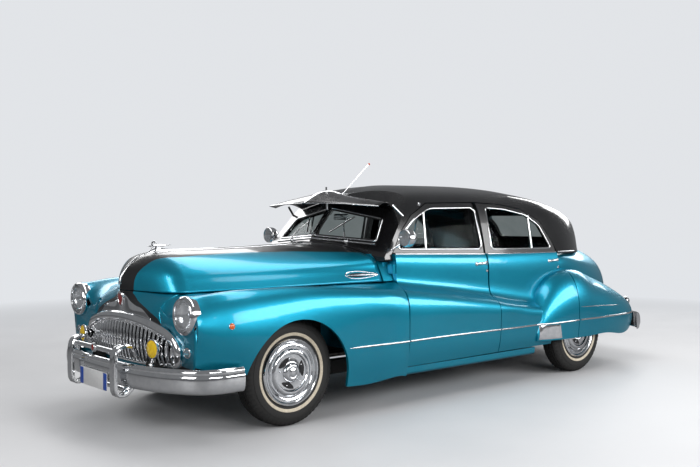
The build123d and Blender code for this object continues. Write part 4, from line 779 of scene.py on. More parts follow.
# ---- grille ----
# The grille is a row of heavy die-cast bars in a wide rolled frame, chromed and bolted to the nose.
# Each bar bows forward between the frame's arch and its sill; behind them a dark sheet is painted shade for the gaps
# between the bars.
grille_line = along_line([(2.461, 0, 0.712), (2.456, 0.17, 0.704), (2.444, 0.335, 0.683), (2.431, 0.440, 0.658),
                          (2.419, 0.525, 0.634), (2.404, 0.585, 0.594), (2.397, 0.614, 0.545), (2.394, 0.614, 0.495),
                          (2.396, 0.585, 0.452), (2.415, 0.470, 0.438), (2.436, 0.335, 0.434), (2.448, 0.17, 0.432),
                          (2.452, 0, 0.432)], 0.02)
whole = grille_line + [Vector((p.x, -p.y, p.z)) for p in reversed(grille_line[1:-1])]
outs = [Vector((1, p.y * 0.35, 0.25 if p.z > 0.60 else 0)).normalized() for p in whole]
sizes = [0.36 + 0.64 * min(max((p.z - 0.445) / 0.08, 0), 1) if abs(p.y) < 0.60 else 1.0 for p in whole]
sizes = [sum(sizes[i - k] for k in range(-3, 4)) / 7 if 3 < i < len(sizes) - 4 else sizes[i] for i in range(len(sizes))]
rolled = [(0.037, -0.030), (0.037, 0.002), (0.034, 0.015), (0.025, 0.026), (0.009, 0.033), (-0.012, 0.032),
          (-0.026, 0.024), (-0.034, 0.012), (-0.037, -0.004), (-0.037, -0.030)]
surround = piece("grille_frame", [swept(whole, outs, rolled, sizes, closed=True)], bright, "root", 50)
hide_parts("grille_surround")
bars = []
pitch, bar_foot_z = 0.0439, 0.440
arch_low = [(0.0, 0.690), (0.17, 0.682), (0.335, 0.661), (0.440, 0.636), (0.525, 0.610), (0.585, 0.560), (0.60, 0.53)]
arch_mid = [(0.0, 2.455), (0.17, 2.450), (0.335, 2.438), (0.440, 2.425), (0.525, 2.413), (0.585, 2.398), (0.60, 2.395)]
bar_section = [(0.0095 * math.cos(a), 0.012 + 0.014 * math.sin(a)) for a in [math.pi * k / 8 for k in range(9)]]
bar_section = [(0.007, -0.030)] + bar_section + [(-0.007, -0.030)]
for i in range(-13, 14):
    y = i * pitch
    top, back = at(arch_low, abs(y)), at(arch_mid, abs(y))
    path = [Vector((back - 0.020 + 0.026 * math.sin(math.pi * (0.12 + 0.80 * t)), y,
                    top + 0.012 + (bar_foot_z - top - 0.012) * t)) for t in shares(10)]
    bars.append(swept(path, [Vector((1, y * 0.30, 0.2 * (0.5 - t))) for t in shares(10)], bar_section))
grille = piece("grille_bars", bars, bright, "root", 50)
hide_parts("grille")
# painted shade: a dark sheet behind the bars, so the gaps between them read as shade
grille_shade = [[Vector((at(arch_mid, y) - 0.085, y, at(arch_low, y) + 0.02 - (at(arch_low, y) - 0.415) * t))
           for y in [0.60 * v for v in shares(20)]] for t in shares(3)]
piece("grille_shade_sheet", [sheet_of(grille_shade)], painted_shade_dark, "root")

# ---- headlamps, parking lamps and fog lamps ----
# Each headlamp is a sealed unit behind ribbed glass, in a chromed rim screwed to the fender's bucket.
# Small round parking lamps sit below them, and two yellow fog lamps stand on stalks off the bumper.
lamp_glass = finish("lamp_glass", (0.93, 0.95, 0.96), (0.86, 0.88, 0.90), 20, 0.0, (0.02, 0.06))
clear(lamp_glass, 0.85, 1.25)
fog_glass = finish("fog_glass", (0.90, 0.62, 0.015), (0.78, 0.48, 0.010), 60, 0.0, (0.08, 0.15), 0.0, 1.0)


def ribbed_glass(seat, facing, radius, foot, bulge, rings, count, depth, rib_pitch, ribs_to=1.0):
    """A domed lens with upright ribs pressed in its face, out to the radius ribs_to."""
    dome = [(foot + bulge * (1 - (r / radius) ** 2), r) for r in [radius * (1 - t) for t in shares(rings)]]
    points, faces = turned(dome, seat, facing, count)
    return [p + Vector((depth * math.cos((p.y - seat.y) * 2 * math.pi / rib_pitch), 0, 0))
            if (p - seat).yz.length < ribs_to else p for p in points], faces


rims, reflectors, lenses = [], [], []
for out in (1, -1):
    seat = Vector((2.4175, out * 0.752, 0.772))
    rim = [(-0.030, 0.1120), (-0.004, 0.1150), (0.004, 0.1185), (0.014, 0.1195), (0.024, 0.1175), (0.031, 0.1135),
           (0.036, 0.1080), (0.036, 0.1050), (0.031, 0.1020), (0.024, 0.1010)]
    rims.append(turned(rim, seat, (1, 0, 0), 96))
    bowl = [(0.026, 0.1005), (0.008, 0.094), (-0.012, 0.078), (-0.026, 0.055), (-0.034, 0.030), (-0.036, 0.014),
            (-0.020, 0.013), (-0.014, 0.009), (-0.012, 0.0)]
    reflectors.append(turned(bowl, seat, (1, 0, 0), 72))
    lenses.append(ribbed_glass(seat, (1, 0, 0), 0.1015, 0.024, 0.034, 22, 240, 0.0016, 0.0125, 0.098))
headlamps = piece("headlamp_rims", rims, bright, "root")
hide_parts("headlamps")
piece("headlamp_reflectors", reflectors, polished, "root")
piece("headlamp_lenses", lenses, lamp_glass, "root", 60)
parking, parking_glass, fog, fog_lens = [], [], [], []
for out in (1, -1):
    seat = Vector((2.408, out * 0.766, 0.549))
    rim = [(-0.01, 0.030), (0.012, 0.0325), (0.020, 0.0315), (0.024, 0.0270), (0.022, 0.0245)]
    parking.append(turned(rim, seat, (1, out * 0.2, 0), 48))
    lens = [(0.021, 0.0250), (0.030, 0.0200), (0.036, 0.0110), (0.038, 0.0)]
    parking_glass.append(turned(lens, seat, (1, out * 0.2, 0), 48))
    seat, facing = Vector((2.500, out * 0.500, 0.5525)), Vector((1, out * 0.14, 0)).normalized()
    shell = [(-0.064, 0.0), (-0.058, 0.016), (-0.040, 0.036), (-0.015, 0.052), (0.002, 0.0585), (0.012, 0.0615),
             (0.020, 0.0590), (0.021, 0.0555)]
    fog.append(turned(shell, seat, facing, 64))
    stalk = [(0, 0.020), (0.008, 0.019), (0.014, 0.009), (0.075, 0.008)]
    fog.append(turned(stalk, (2.520, out * 0.500, 0.452), (-0.25, 0, 1), 24))
    fog_lens.append(ribbed_glass(seat, facing, 0.056, 0.018, 0.016, 12, 144, 0.0009, 0.009))
piece("parking_lamp_rims", parking, bright, "root")
piece("parking_lamp_lenses", parking_glass, lamp_glass, "root")
piece("fog_lamp_shells", fog, bright, "root")
piece("fog_lamp_lenses", fog_lens, fog_glass, "root", 60)

# ---- bumpers, overriders and number plate ----
# The bumpers are heavy rolled steel blades on brackets from the frame, plated and polished.
# Tall overriders loop up from the front blade and a tube joins them; the blank plate hangs between.
def mirrored(run):
    """A run of left-side points carried on to the right side."""
    return list(run) + [Vector((p.x, -p.y, p.z)) for p in reversed(run[:-1] if abs(run[-1].y) < 1e-6 else run)]


def blade(plan, low, high):
    """A bumper blade that follows a plan line, with a rolled face and a raised middle ridge."""
    path = mirrored(along_line([(x, y, (low + high) / 2) for x, y in plan], 0.05))
    outs = []
    for i, p in enumerate(path):
        away = heading(path, i).cross(Vector((0, 0, 1)))
        outs.append(away if away.dot(p - Vector((0, 0, p.z))) > 0 else -away)
    half = (high - low) / 2
    face = [(half * k / 12, 0.024 * (1 - (k / 12) ** 2) ** 0.5 - 0.006 * math.exp(-((k - 7) / 1.2) ** 2) - 0.004)
            for k in range(-12, 13)]
    section = [(-half * 0.98, -0.014), *face, (half * 0.98, -0.014), (half * 0.8, -0.010), (-half * 0.8, -0.010)]
    return swept(path, outs, section)


def overrider(points, y, wide):
    """A tall guard: a channel with rolled edges that follows (x, z) points at half width y."""
    path = along_line([(x, y, z) for x, z in points], 0.02)
    outs = [Vector((0, 1, 0)).cross(heading(path, i)) for i in range(len(path))]
    middle = Vector((sum(p.x for p in path) / len(path), y, sum(p.z for p in path) / len(path)))
    outs = [o if o.dot(p - middle) > 0 else -o for o, p in zip(outs, path)]
    face = [(1, -0.010), (1, 0.003), (0.86, 0.009), (0.60, 0.010), (0.35, 0.006)]
    section = [(-wide * a, b) for a, b in face] + [(0, 0.005)] + [(wide * a, b) for a, b in reversed(face)]
    return swept(path, outs, section + [(wide * 0.7, -0.006), (-wide * 0.7, -0.006)])


front_plan = [(2.1375, 0.944), (2.290, 0.938), (2.4075, 0.886), (2.480, 0.795), (2.5525, 0.650), (2.598, 0.500),
              (2.6225, 0.350), (2.632, 0.18), (2.6355, 0.0)]
blade_low, blade_high = 0.310, 0.460
bumper_parts = [blade(front_plan, blade_low, blade_high)]
guard_line = [(2.560, 0.300), (2.610, 0.258), (2.655, 0.254), (2.681, 0.285), (2.686, 0.400), (2.683, 0.490),
              (2.668, 0.540), (2.630, 0.560), (2.580, 0.558), (2.545, 0.530), (2.530, 0.480)]
bumper_parts += [overrider(guard_line, out * 0.319, 0.038) for out in (1, -1)]
tube = oval(0.017, 0.012, 16)
for z, x in ((0.523, 2.656), (0.285, 2.600)):
    bumper_parts.append(swept([Vector((x, 0.30 - 0.6 * t, z)) for t in shares(20)], [Vector((1, 0, 0))] * 21, tube))
front_bumper = piece("front_bumper_bar", bumper_parts, bright, "root", 40)
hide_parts("front_bumper")
boss = [(-0.004, 0.030), (0.006, 0.029), (0.011, 0.025), (0.012, 0.0205)]
boss_place = (2.664, 0, 0.523)
piece("bumper_boss", [turned(boss, boss_place, (1, 0, 0), 40)], bright, "root")
piece("bumper_boss_enamel", [turned([(0.0115, 0.0205), (0.0135, 0.014), (0.0145, 0.0)], boss_place, (1, 0, 0), 40)],
      badge_red, "root")


def rounded_box(wide, tall, radius):
    """A rounded rectangle round the origin."""
    return rounded([(-wide / 2, -tall / 2), (wide / 2, -tall / 2), (wide / 2, tall / 2), (-wide / 2, tall / 2)], radius)


def closed_shell(rows):
    """Closed rows of points joined into one shell, with the first and the last row filled."""
    count, last = len(rows[0]), len(rows[0]) * (len(rows) - 1)
    caps = [tuple(range(count)), tuple(range(last, last + count))]
    return [p for row in rows for p in row], grid_faces(len(rows), count, False, True) + caps


def rounded_slab(centre, wide, tall, thick, radius):
    """A flat plate across the car with rounded corners and a soft front edge."""
    return closed_shell([[Vector(centre) + Vector((x, p.x * (1 - 2 * cut / wide), p.y * (1 - 2 * cut / tall)))
                          for p in rounded_box(wide, tall, radius)]
                         for x, cut in ((0, 0.0), (thick * 0.7, 0.0), (thick, 0.0015))])


plate_white = finish("plate_white", (0.80, 0.80, 0.79), (0.74, 0.74, 0.74), 40, 0.0, (0.3, 0.45), 0.0002)
plate_blue = finish("plate_blue", (0.010, 0.075, 0.42), (0.008, 0.055, 0.34), 40, 0.0, (0.3, 0.45), 0.0002)
plate = rounded_slab((2.668, 0, 0.3225), 0.400, 0.115, 0.0035, 0.010)
piece("number_plate", [plate], plate_white, "root", 50)
plate_ends = [rounded_slab((2.6705, out * 0.1725, 0.3225), 0.050, 0.109, 0.0018, 0.007) for out in (1, -1)]
piece("number_plate_ends", plate_ends, plate_blue, "root", 50)
rear_plan = [(-2.3675, 0.926), (-2.440, 0.885), (-2.4975, 0.826), (-2.560, 0.715), (-2.6025, 0.616), (-2.632, 0.47),
             (-2.6455, 0.346), (-2.654, 0.17), (-2.6575, 0.0)]
rear_guard = [(-2.600, 0.300), (-2.640, 0.272), (-2.675, 0.285), (-2.686, 0.330), (-2.689, 0.420), (-2.680, 0.500),
              (-2.662, 0.535), (-2.625, 0.545), (-2.600, 0.520)]
rear_parts = [blade(rear_plan, blade_low, blade_high)]
rear_parts += [overrider(rear_guard, out * 0.319, 0.034) for out in (1, -1)]
rear_parts += [turned([(0, 0.014), (0.150, 0.014)], (-2.655, out * 0.36, 0.385), (1, 0, -0.25), 16) for out in (1, -1)]
rear_bumper = piece("rear_bumper_bar", rear_parts, bright, "root", 40)
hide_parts("rear_bumper")

# ---- windscreen, wipers and mirror ----
# The windscreen is two flat panes in a rubber seal, with a bright frame and a bright centre bar.
# Two wipers lie against it from pivots on the cowl, and a mirror hangs inside from the header.
dress(window_glass, "windscreen_glass", "rear_window_glass")
screen_low, screen_high = Vector((0.8705, 0, 1.195)), Vector((0.6255, 0, 1.477))
screen_corner = Vector((0.7325, 0.686, 1.148))
screen_along = (screen_corner - screen_low).normalized()
screen_out = screen_along.cross(screen_high - screen_low).normalized()
screen_up = screen_out.cross(screen_along)


def on_screen(a, b, side, lift=0.0):
    """A point on the windscreen, a along its foot and b up it, on the left or the mirrored right pane."""
    p = screen_low + screen_along * a + screen_up * b + screen_out * lift
    return Vector((p.x, p.y * side, p.z))


rubber_black = finish("seal_rubber", (0.020, 0.020, 0.020), (0.012, 0.012, 0.012), 80, 0.0, (0.55, 0.75), 0.0003)
frame_line = rounded([(0.020, 0.042), (0.610, 0.046), (0.560, 0.262), (0.020, 0.330)], 0.022)
seal_line = rounded([(0.030, 0.054), (0.597, 0.058), (0.551, 0.252), (0.030, 0.315)], 0.018)
frames, seals, wipers, blades = [], [], [], []
for side in (1, -1):
    away = Vector((screen_out.x, screen_out.y * side, screen_out.z))
    rim = [on_screen(p.x, p.y, side, 0.001) for p in frame_line]
    frames.append(swept(rim, [away] * len(rim), half_round(0.016, 0.007), closed=True))
    rim = [on_screen(p.x, p.y, side, -0.002) for p in seal_line]
    seals.append(swept(rim, [away] * len(rim), half_round(0.010, 0.005), closed=True))
    foot = [on_screen(0.003 + 0.615 * t, 0.014 + 0.004 * t, side, 0.002) for t in shares(12)]
    frames.append(swept(foot, [away] * 13, half_round(0.018, 0.007)))
    pivot = on_screen(0.345, 0.012, side)
    wipers.append(turned([(-0.010, 0.019), (0.008, 0.017), (0.018, 0.013), (0.026, 0.0)], pivot, away, 24))
    arm = [on_screen(0.345 - 0.105 * t, 0.016 + 0.165 * t, side, 0.018 + 0.010 * math.sin(math.pi * t))
           for t in shares(10)]
    wipers.append(swept(arm, [away] * 11, half_round(0.008, 0.004, 0.003), [1.25 - 0.05 * k for k in range(11)]))
    rod = [on_screen(0.150 + 0.155 * t, 0.085 + 0.170 * t, side, 0.010) for t in shares(10)]
    wipers.append(swept(rod, [away] * 11, half_round(0.007, 0.005, 0.002)))
    lip = [(-0.0015, -0.001), (-0.0035, 0.005), (0.0035, 0.005), (0.0015, -0.001)]
    blades.append(swept([p - away * 0.006 for p in rod], [away] * 11, lip))
bar = [on_screen(0, 0.030 + 0.310 * t, 1, 0.004) for t in shares(10)]
bar_out = Vector((screen_out.x, 0, screen_out.z))
frames.append(swept(bar, [bar_out] * 11, half_round(0.030, 0.010, 0.006)))
piece("windscreen_frame", frames, bright, "root")
piece("windscreen_seals", seals, rubber_black, "root")
piece("wiper_arms", wipers, bright, "root")
piece("wiper_blades", blades, rubber_black, "root")
mirror_spot = Vector((0.600, 0.060, 1.372))
mirror_shell = closed_shell([[mirror_spot + Vector((x + abs(p.x) * 0.06, p.x * g, p.y * g))
                              for p in rounded_box(0.170, 0.048, 0.020)]
                             for x, g in ((0, 1), (0.009, 1), (0.014, 0.85))])
mirror_stem = turned([(0, 0.004), (0.085, 0.004)], mirror_spot + Vector((0.006, 0, 0.018)), (0.1, -0.3, 1), 12)
piece("inside_mirror", [mirror_shell, mirror_stem], polished, "root")


def on_tail(node, y, z):
    """Where a CAD node's rear face lies at half width y and height z."""
    return skin(node, (-3.2, y, z), (1, 0, 0))


rim = []
for p in rounded([(-0.440, 1.172), (0.440, 1.172), (0.440, 1.394), (-0.440, 1.394)], 0.070, 8):
    found = on_tail("roof", p.x, p.y)
    if found:
        rim.append(found)
piece("rear_window_frame", [laid(rim, half_round(0.018, 0.006), closed=True)], bright, "root")

# ---- sun visor ----
# The visor is a pressed steel shade over the windscreen, painted black and creased down the middle.
# It is held by clamps at the roof's edges and a bright strap to the windscreen's centre bar.
visor_rows = []
for t in shares(12):
    row = []
    for v in shares(24):
        corner = max(0, v - 0.82)
        front = Vector((0.935 - 0.064 * v ** 1.6 - 0.13 * corner / 0.18, 0.64 * v,
                        1.477 - 0.024 * v ** 2.2 - 0.02 * corner))
        back_x = 0.560 - 0.045 * v ** 2
        lean = math.radians(62) * v
        ray = Vector((0, math.sin(lean), math.cos(lean)))
        back = skin("roof", Vector((back_x, 0, 1.14)) + ray * 1.5, -ray)[0] + ray * 0.005
        p = back.lerp(front, t)
        p.z += 0.052 * math.sin(math.pi * t) * (1 - 0.3 * v) - 0.004 * min(v / 0.06, 1) + 0.004
        row.append(p)
    visor_rows.append(row)
visor_paint = finish("visor_paint", (0.010, 0.010, 0.011), (0.006, 0.006, 0.007), 5, 0.0, (0.20, 0.32), 0.0, 0.6)
thicken(piece("sun_visor", [sheet_of(visor_rows)], visor_paint, "root", 60), 0.004)
crease = [row[0] + Vector((0, 0, 0.002)) for row in visor_rows]
edge = [Vector((p.x, -p.y, p.z)) for p in reversed(visor_rows[-1][1:])] + visor_rows[-1]
strap = [on_screen(0, 0.300 + 0.02 * k, 1, 0.014 + 0.022 * k) for k in range(7)]
visor_trim = [swept(crease, [Vector((0, 0, 1))] * 13, half_round(0.012, 0.004)),
              swept(edge, [Vector((1, 0, 0.2))] * len(edge), oval(0.004, 0.004, 10)),
              swept(strap, [bar_out] * 7, half_round(0.022, 0.004))]
for out in (1, -1):
    clamp = [Vector((0.520 + 0.016 * k, out * (0.676 - 0.006 * k), 1.378 + 0.016 * k)) for k in range(6)]
    visor_trim.append(swept(clamp, [Vector((0, out, 0.4))] * 6, half_round(0.018, 0.006)))
    stud = [(-0.002, 0.013), (0.004, 0.013), (0.010, 0.009), (0.012, 0)]
    visor_trim.append(turned(stud, *on_side("roof", 0.314, 1.470, out), 24))
piece("sun_visor_trim", visor_trim, bright, "root")

# ---- spotlamps and aerial ----
# A spotlamp swivels on each windscreen pillar, chromed and driven by a handle inside.
# The aerial is a thin sprung steel whip on the roof's front edge with a bead at its tip.
dress(bright, "spotlamps", "aerial")
spot_lens, spot_rims = [], []
for out in (1, -1):
    seat = Vector((0.6685, out * 0.846, 1.215))
    spot_lens.append(ribbed_glass(seat, (1, 0, 0), 0.056, 0.006, 0.010, 12, 120, 0.0008, 0.009))
    rim = [(-0.006, 0.0640), (0.004, 0.0655), (0.009, 0.0630), (0.010, 0.0585), (0.006, 0.0560)]
    spot_rims.append(turned(rim, seat, (1, 0, 0), 64))
piece("spotlamp_rims", spot_rims, bright, "root")
piece("spotlamp_lenses", spot_lens, lamp_glass, "root", 60)
whip_low, whip_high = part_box("aerial")
bead_red = finish("aerial_bead", (0.75, 0.10, 0.04), (0.60, 0.07, 0.03), 200, 0.0, (0.3, 0.4))
tip = [(-0.010, 0.0), (-0.008, 0.006), (-0.002, 0.0095), (0.004, 0.008), (0.009, 0.0)]
tip_place = (whip_low.x + 0.006, 0, whip_high.z - 0.008)
piece("aerial_bead", [turned(tip, tip_place, (-0.75, 0, 0.66), 24)], bead_red, "root")

# ---- trunk lid and tail lamps ----
# The trunk lid is a steel pressing hinged at its top, lifted by a chromed handle over its lock.
# A round red tail lamp in a chromed rim closes the end of each rear fender.
dress(body_paint, "trunk_lid")
grip, grip_z = [], 0.640
for t in shares(12):
    face, away = on_tail("trunk_lid", -0.075 + 0.150 * t, grip_z)
    grip.append((face + away * (0.008 + 0.020 * math.sin(math.pi * t) ** 0.5), away))
plinth = [(-0.003, 0.026), (0.004, 0.025), (0.009, 0.018), (0.010, 0)]
feet = [turned([(0, 0.008), (0.012, 0.006), (0.014, 0)], p - n * 0.010, n, 20) for p, n in (grip[0], grip[-1])]
piece("trunk_handle", [laid(grip, tube, [0.45] * 13), turned(plinth, *on_tail("trunk_lid", 0, grip_z), 32), *feet],
      bright, "trunk_lid")
red_glass = finish("tail_lens", (0.52, 0.012, 0.010), (0.36, 0.008, 0.008), 220, 0.0, (0.08, 0.16), 0.0004, 1.0)
tail_rims, tail_lenses = [], []
for side, out in sides:
    seat, away = on_tail(f"rear_fender_{side}", out * 0.735, 0.560)
    axis = (Vector((-1, 0, 0)) * 0.8 + away * 0.2).normalized()
    rim = [(-0.020, 0.040), (0.004, 0.043), (0.012, 0.041), (0.016, 0.036), (0.014, 0.032)]
    tail_rims.append(turned(rim, seat, axis, 48))
    tail_lenses.append(turned([(0.013, 0.0325), (0.022, 0.027), (0.029, 0.016), (0.031, 0)], seat, axis, 48))
piece("tail_lamp_rims", tail_rims, bright, "root")
piece("tail_lamp_lenses", tail_lenses, red_glass, "root")

# ---- dashboard and steering wheel ----
# The dashboard is painted steel with two round dials behind glass and a bright rib along it.
# The wheel is moulded plastic on a steel core, with three spokes and a chromed horn ring.
dash_paint = finish("dash_paint", (0.035, 0.036, 0.038), (0.022, 0.022, 0.024), 18, 0.1, (0.3, 0.42), 0.0, 0.5)
wheel_plastic = finish("wheel_plastic", (0.050, 0.046, 0.040), (0.030, 0.028, 0.026), 25, 0.0, (0.25, 0.38), 0.0, 0.4)
dress(dash_paint, "dashboard", "steering_column")
dress(wheel_plastic, "steering_wheel")


def on_dash(y, z):
    """Where the dashboard's face towards the seats lies at y and height z."""
    return skin("dashboard", (0.2, y, z), (1, 0, 0))


dial_rims, dial_faces = [], []
for y, radius in ((0.430, 0.058), (0.300, 0.058), (0.075, 0.040), (-0.040, 0.040)):
    place = on_dash(y, 1.010)
    rim = [(-0.004, radius), (0.008, radius), (0.012, radius * 0.94), (0.009, radius * 0.86)]
    dial_rims.append(turned(rim, *place, 48))
    dial_faces.append(turned([(0.004, radius * 0.88), (0.005, 0.012), (0.009, 0.008), (0.010, 0)], *place, 48))
rib = laid([on_dash(0.60 - 1.20 * t, 0.935) for t in shares(30)], half_round(0.016, 0.006))
piece("dashboard_dials", dial_rims + [rib], bright, "root")
piece("dashboard_dial_faces", dial_faces, cream_rubber, "root")
wheel_axis = Vector((-0.8, 0, 0.6))
wheel_centre = Vector((0.4115, 0.370, 0.975))
ring = [(0.018 + b, 0.118 + a) for a, b in oval(0.0045, 0.0045, 10)]
piece("horn_ring", [turned(ring, wheel_centre, wheel_axis, 72, True),
                    turned([(0.006, 0.042), (0.020, 0.040), (0.028, 0.028), (0.031, 0)], wheel_centre, wheel_axis, 40)],
      bright, "steering_wheel")

# ---- seats ----
# The seats are full-width benches: sprung steel frames under horsehair pads in dark ribbed cloth.
# Each cushion and back is a crowned pad with sewn channels and a piped front edge.
seat_cloth = finish("seat_cloth", (0.060, 0.062, 0.066), (0.030, 0.031, 0.034), 260, 0.0, (0.8, 0.95), 0.0012, 0.0,
                    (1, 1, 0.35))


def seat_pad(name, low, high, thin_axis, replaced):
    """A stuffed pad: a rounded block, blown up softly, with channels sewn in across its face."""
    low, high = Vector(low), Vector(high)
    shape = bmesh.new()
    bmesh.ops.create_cube(shape, size=1)
    size, middle = (high - low) - Vector((0.030, 0.030, 0.030)), (high + low) / 2
    for corner in shape.verts:
        corner.co = Vector((corner.co.x * size.x, corner.co.y * size.y, corner.co.z * size.z)) + middle
    bmesh.ops.bevel(shape, geom=shape.edges[:], offset=0.034, segments=4, affect="EDGES")
    mesh = bpy.data.meshes.new(name)
    shape.to_mesh(mesh)
    shape.free()
    pad = bpy.data.objects.new(name, mesh)
    bpy.context.scene.collection.objects.link(pad)
    remesh = pad.modifiers.new("remesh", "REMESH")
    remesh.mode, remesh.voxel_size = "VOXEL", 0.02
    pad.data = bpy.data.meshes.new_from_object(pad.evaluated_get(bpy.context.evaluated_depsgraph_get()))
    pad.modifiers.clear()
    start = [v.co.copy() for v in pad.data.vertices]
    cloth = pad.modifiers.new("cloth", "CLOTH")
    cloth.settings.use_pressure, cloth.settings.uniform_pressure_force = True, 4
    cloth.settings.effector_weights.gravity = 0
    cloth.settings.quality = 4
    for step in range(1, 21):
        bpy.context.scene.frame_set(step)
    blown = pad.evaluated_get(bpy.context.evaluated_depsgraph_get()).to_mesh()
    moved = [v.co.copy() for v in blown.vertices]
    pad.modifiers.clear()
    for v, a, b in zip(pad.data.vertices, start, moved):
        shift = b - a
        v.co = a + shift * min(1, 0.024 / max(shift.length, 1e-6))
    smooth = pad.modifiers.new("smooth", "SUBSURF")
    smooth.levels = smooth.render_levels = 1
    pad.data = bpy.data.meshes.new_from_object(pad.evaluated_get(bpy.context.evaluated_depsgraph_get()))
    pad.modifiers.clear()
    for v in pad.data.vertices:
        far = (v.co - middle)[thin_axis] / (size[thin_axis] / 2)
        dip = 0.011 * math.exp(-((((v.co.y + 3) / 0.115) % 1 - 0.5) / 0.10) ** 2) * max(0, far)
        v.co[thin_axis] -= dip
        for n in range(3):
            v.co[n] = min(max(v.co[n], low[n]), high[n])
    pad.data.shade_smooth()
    pad.data.materials.clear()
    pad.data.materials.append(seat_cloth)
    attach(pad, "root")
    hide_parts(replaced)
    return pad


seat_pad("front_seat_cushion", (-0.3405, -0.610, 0.3263), (0.1695, 0.610, 0.560), 2, "front_seat")
seat_pad("front_seat_back", (-0.4655, -0.610, 0.4463), (-0.3408, 0.610, 0.985), 0, "front_seat")
seat_pad("rear_seat_cushion", (-1.1425, -0.600, 0.3263), (-0.6625, 0.600, 0.570), 2, "rear_seat")
seat_pad("rear_seat_back", (-1.2805, -0.600, 0.5703), (-1.1425, 0.600, 1.010), 0, "rear_seat")

# ---- door linings ----
# Each door is lined with a board in the seats' cloth, clipped to the pressing over its works.
# A padded arm rest, a window winder and a lever stand on it.
lining_line = {"front": [(0.655, 0.400), (0.655, 1.010), (0.610, 1.085), (-0.300, 1.068), (-0.300, 0.400)],
               "rear": [(-0.395, 0.400), (-0.395, 1.065), (-1.150, 1.058), (-1.215, 0.900), (-1.100, 0.600),
                        (-0.860, 0.400)]}
for door, outline in lining_line.items():
    for side, out in sides:
        loop = rounded(outline, 0.030)
        spot = sum((Vector(p) for p in outline), Vector((0, 0))) / len(outline)
        points = []
        for y, grow in ((0.6895, 1.0), (0.6865, 1.0), (0.6845, 0.985), (0.6850, 0.93), (0.6835, 0.91)):
            points += [Vector((spot.x + (p.x - spot.x) * grow, out * y, spot.y + (p.y - spot.y) * grow)) for p in loop]
        faces = grid_faces(5, len(loop), False, True) + [tuple(range(4 * len(loop), 5 * len(loop)))]
        middle = (outline[0][0] + outline[-1][0]) / 2 - (0.05 if door == "rear" else 0)
        arm = along_line([(middle + 0.16, out * 0.676, 0.690), (middle + 0.05, out * 0.664, 0.705),
                          (middle - 0.16, out * 0.664, 0.700), (middle - 0.24, out * 0.676, 0.690)], 0.03)
        rest = swept(arm, [Vector((0, -out, 0))] * len(arm), half_round(0.055, 0.020, 0.012),
                     [0.5 + 0.5 * math.sin(math.pi * (k + 1) / (len(arm) + 1)) ** 0.5 for k in range(len(arm))])
        body = f"{door}_door_{side}"
        piece(f"{door}_door_lining_{side}", [(points, faces), rest], seat_cloth, body, 50)
        hub = Vector((middle - 0.02, out * 0.684, 0.800))
        crank = [hub + Vector((-0.085 * t, -out * (0.014 + 0.006 * t), -0.030 * t)) for t in shares(6)]
        piece(f"{door}_window_winder_{side}",
              [turned([(0, 0.022), (0.006, 0.020), (0.012, 0.012), (0.018, 0)], hub, (0, -out, 0), 32),
               swept(crank, [Vector((0, -out, 0))] * 7, half_round(0.012, 0.005)),
               turned([(0, 0.006), (0.008, 0.009), (0.022, 0.010), (0.026, 0)], crank[-1], (0, -out, 0), 20)],
              bright, body)

# ---- studio ----
# The car stands on a plain pale floor that meets a pale background, under large soft lamps.
# Long lamps above and beside it draw the bright lines that show a polished body's shape.
floor_paint = finish("studio_floor_paint", (0.70, 0.70, 0.71), (0.68, 0.68, 0.69), 2, 0.0, (0.5, 0.6))
nodes, floor_shader = floor_paint.node_tree.nodes, floor_paint.node_tree.nodes["Principled BSDF"]
spot = nodes.new("ShaderNodeTexCoord")
reach = nodes.new("ShaderNodeVectorMath")
reach.operation = "LENGTH"
fade = nodes.new("ShaderNodeMapRange")
fade.inputs["From Min"].default_value, fade.inputs["From Max"].default_value = 3.5, 9.0
glow = nodes.new("ShaderNodeEmission")
glow.inputs["Color"].default_value = (0.76, 0.78, 0.81, 1)
ray = nodes.new("ShaderNodeLightPath")
both = nodes.new("ShaderNodeMath")
both.operation = "MULTIPLY"
blend = nodes.new("ShaderNodeMixShader")
quiet = nodes.new("ShaderNodeMixRGB")
quiet.inputs["Color1"].default_value = (0.24, 0.24, 0.245, 1)
join(floor_paint.node_tree, (spot, "Object", reach, 0), (reach, "Value", fade, "Value"), (fade, "Result", both, 0),
     (ray, "Is Camera Ray", both, 1), (both, "Value", blend, "Fac"), (ray, "Is Camera Ray", quiet, "Fac"),
     (nodes["shades"], "Color", quiet, "Color2"), (quiet, "Color", floor_shader, "Base Color"),
     (floor_shader, "BSDF", blend, 1), (glow, "Emission", blend, 2),
     (blend, "Shader", nodes["Material Output"], "Surface"))
floor_mesh = bpy.data.meshes.new("studio_floor")
floor_mesh.from_pydata([(-40, -40, 0), (40, -40, 0), (40, 40, 0), (-40, 40, 0)], [], [(0, 1, 2, 3)])
floor_mesh.materials.append(floor_paint)
floor = bpy.data.objects.new("studio_floor", floor_mesh)
bpy.context.scene.collection.objects.link(floor)

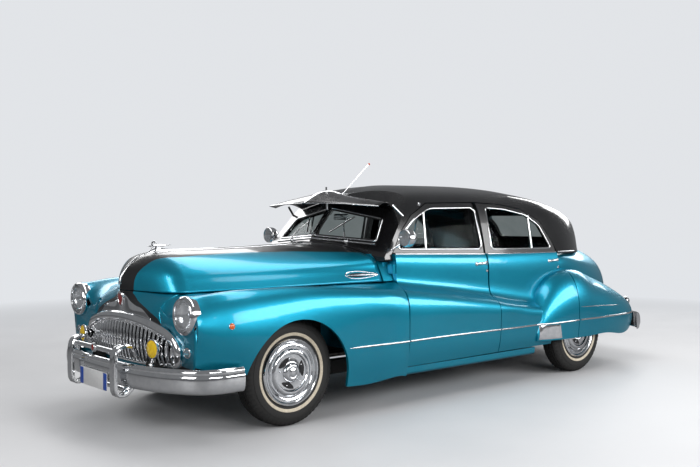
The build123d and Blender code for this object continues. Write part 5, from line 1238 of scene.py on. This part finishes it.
world = bpy.data.worlds.new("studio")
bpy.context.scene.world = world
world.use_nodes = True
sky = world.node_tree.nodes
background = sky["Background"]
background.inputs["Color"].default_value = (0.80, 0.82, 0.85, 1)
ray = sky.new("ShaderNodeLightPath")
seen = sky.new("ShaderNodeMapRange")
seen.inputs["To Min"].default_value, seen.inputs["To Max"].default_value = 0.30, 0.95
shiny = sky.new("ShaderNodeMapRange")
shiny.inputs["To Min"].default_value, shiny.inputs["To Max"].default_value = 1.0, 0.75
level = sky.new("ShaderNodeMath")
level.operation = "MULTIPLY"
join(world.node_tree, (ray, "Is Camera Ray", seen, "Value"), (ray, "Is Glossy Ray", shiny, "Value"),
     (seen, "Result", level, 0), (shiny, "Result", level, 1), (level, "Value", background, "Strength"))
for name, place, aim, size, power in (("overhead", (0.2, 0.2, 4.8), (0, 0.2, 0.8), (6.5, 1.4), 125),
                                      ("side", (-3.0, 6.2, 2.7), (-0.3, 0.5, 0.8), (6.5, 1.8), 275),
                                      ("near_side", (2.8, 6.8, 2.8), (1.6, 0.5, 0.7), (3.0, 1.4), 95),
                                      ("front", (7.0, 2.2, 3.0), (1.5, 0, 0.7), (2.2, 2.8), 130),
                                      ("far_side", (0, -6.0, 4.0), (0, 0, 0.8), (6.0, 2.0), 130),
                                      ("back", (-7.0, -1.0, 3.4), (-1.5, 0, 0.8), (3.0, 2.4), 120)):
    data = bpy.data.lights.new(name, "AREA")
    data.shape, data.size, data.size_y, data.energy = "RECTANGLE", *size, power
    lamp = bpy.data.objects.new(name, data)
    lamp.location = place
    lamp.rotation_mode = "QUATERNION"
    lamp.rotation_quaternion = (Vector(aim) - Vector(place)).to_track_quat("-Z", "Y")
    bpy.context.scene.collection.objects.link(lamp)

camera_data = bpy.data.cameras.new("camera")
camera_data.lens, camera_data.sensor_width = 44.23, 36
camera = bpy.data.objects.new("camera", camera_data)
camera.location = (5.068, 5.290, 1.353)
turn, tip = math.radians(228.95), math.radians(-0.95)
look = Vector((math.cos(turn) * math.cos(tip), math.sin(turn) * math.cos(tip), math.sin(tip)))
camera.rotation_mode = "QUATERNION"
camera.rotation_quaternion = look.to_track_quat("-Z", "Y")
bpy.context.scene.collection.objects.link(camera)
bpy.context.scene.camera = camera
bpy.context.scene.view_settings.view_transform = "Standard"
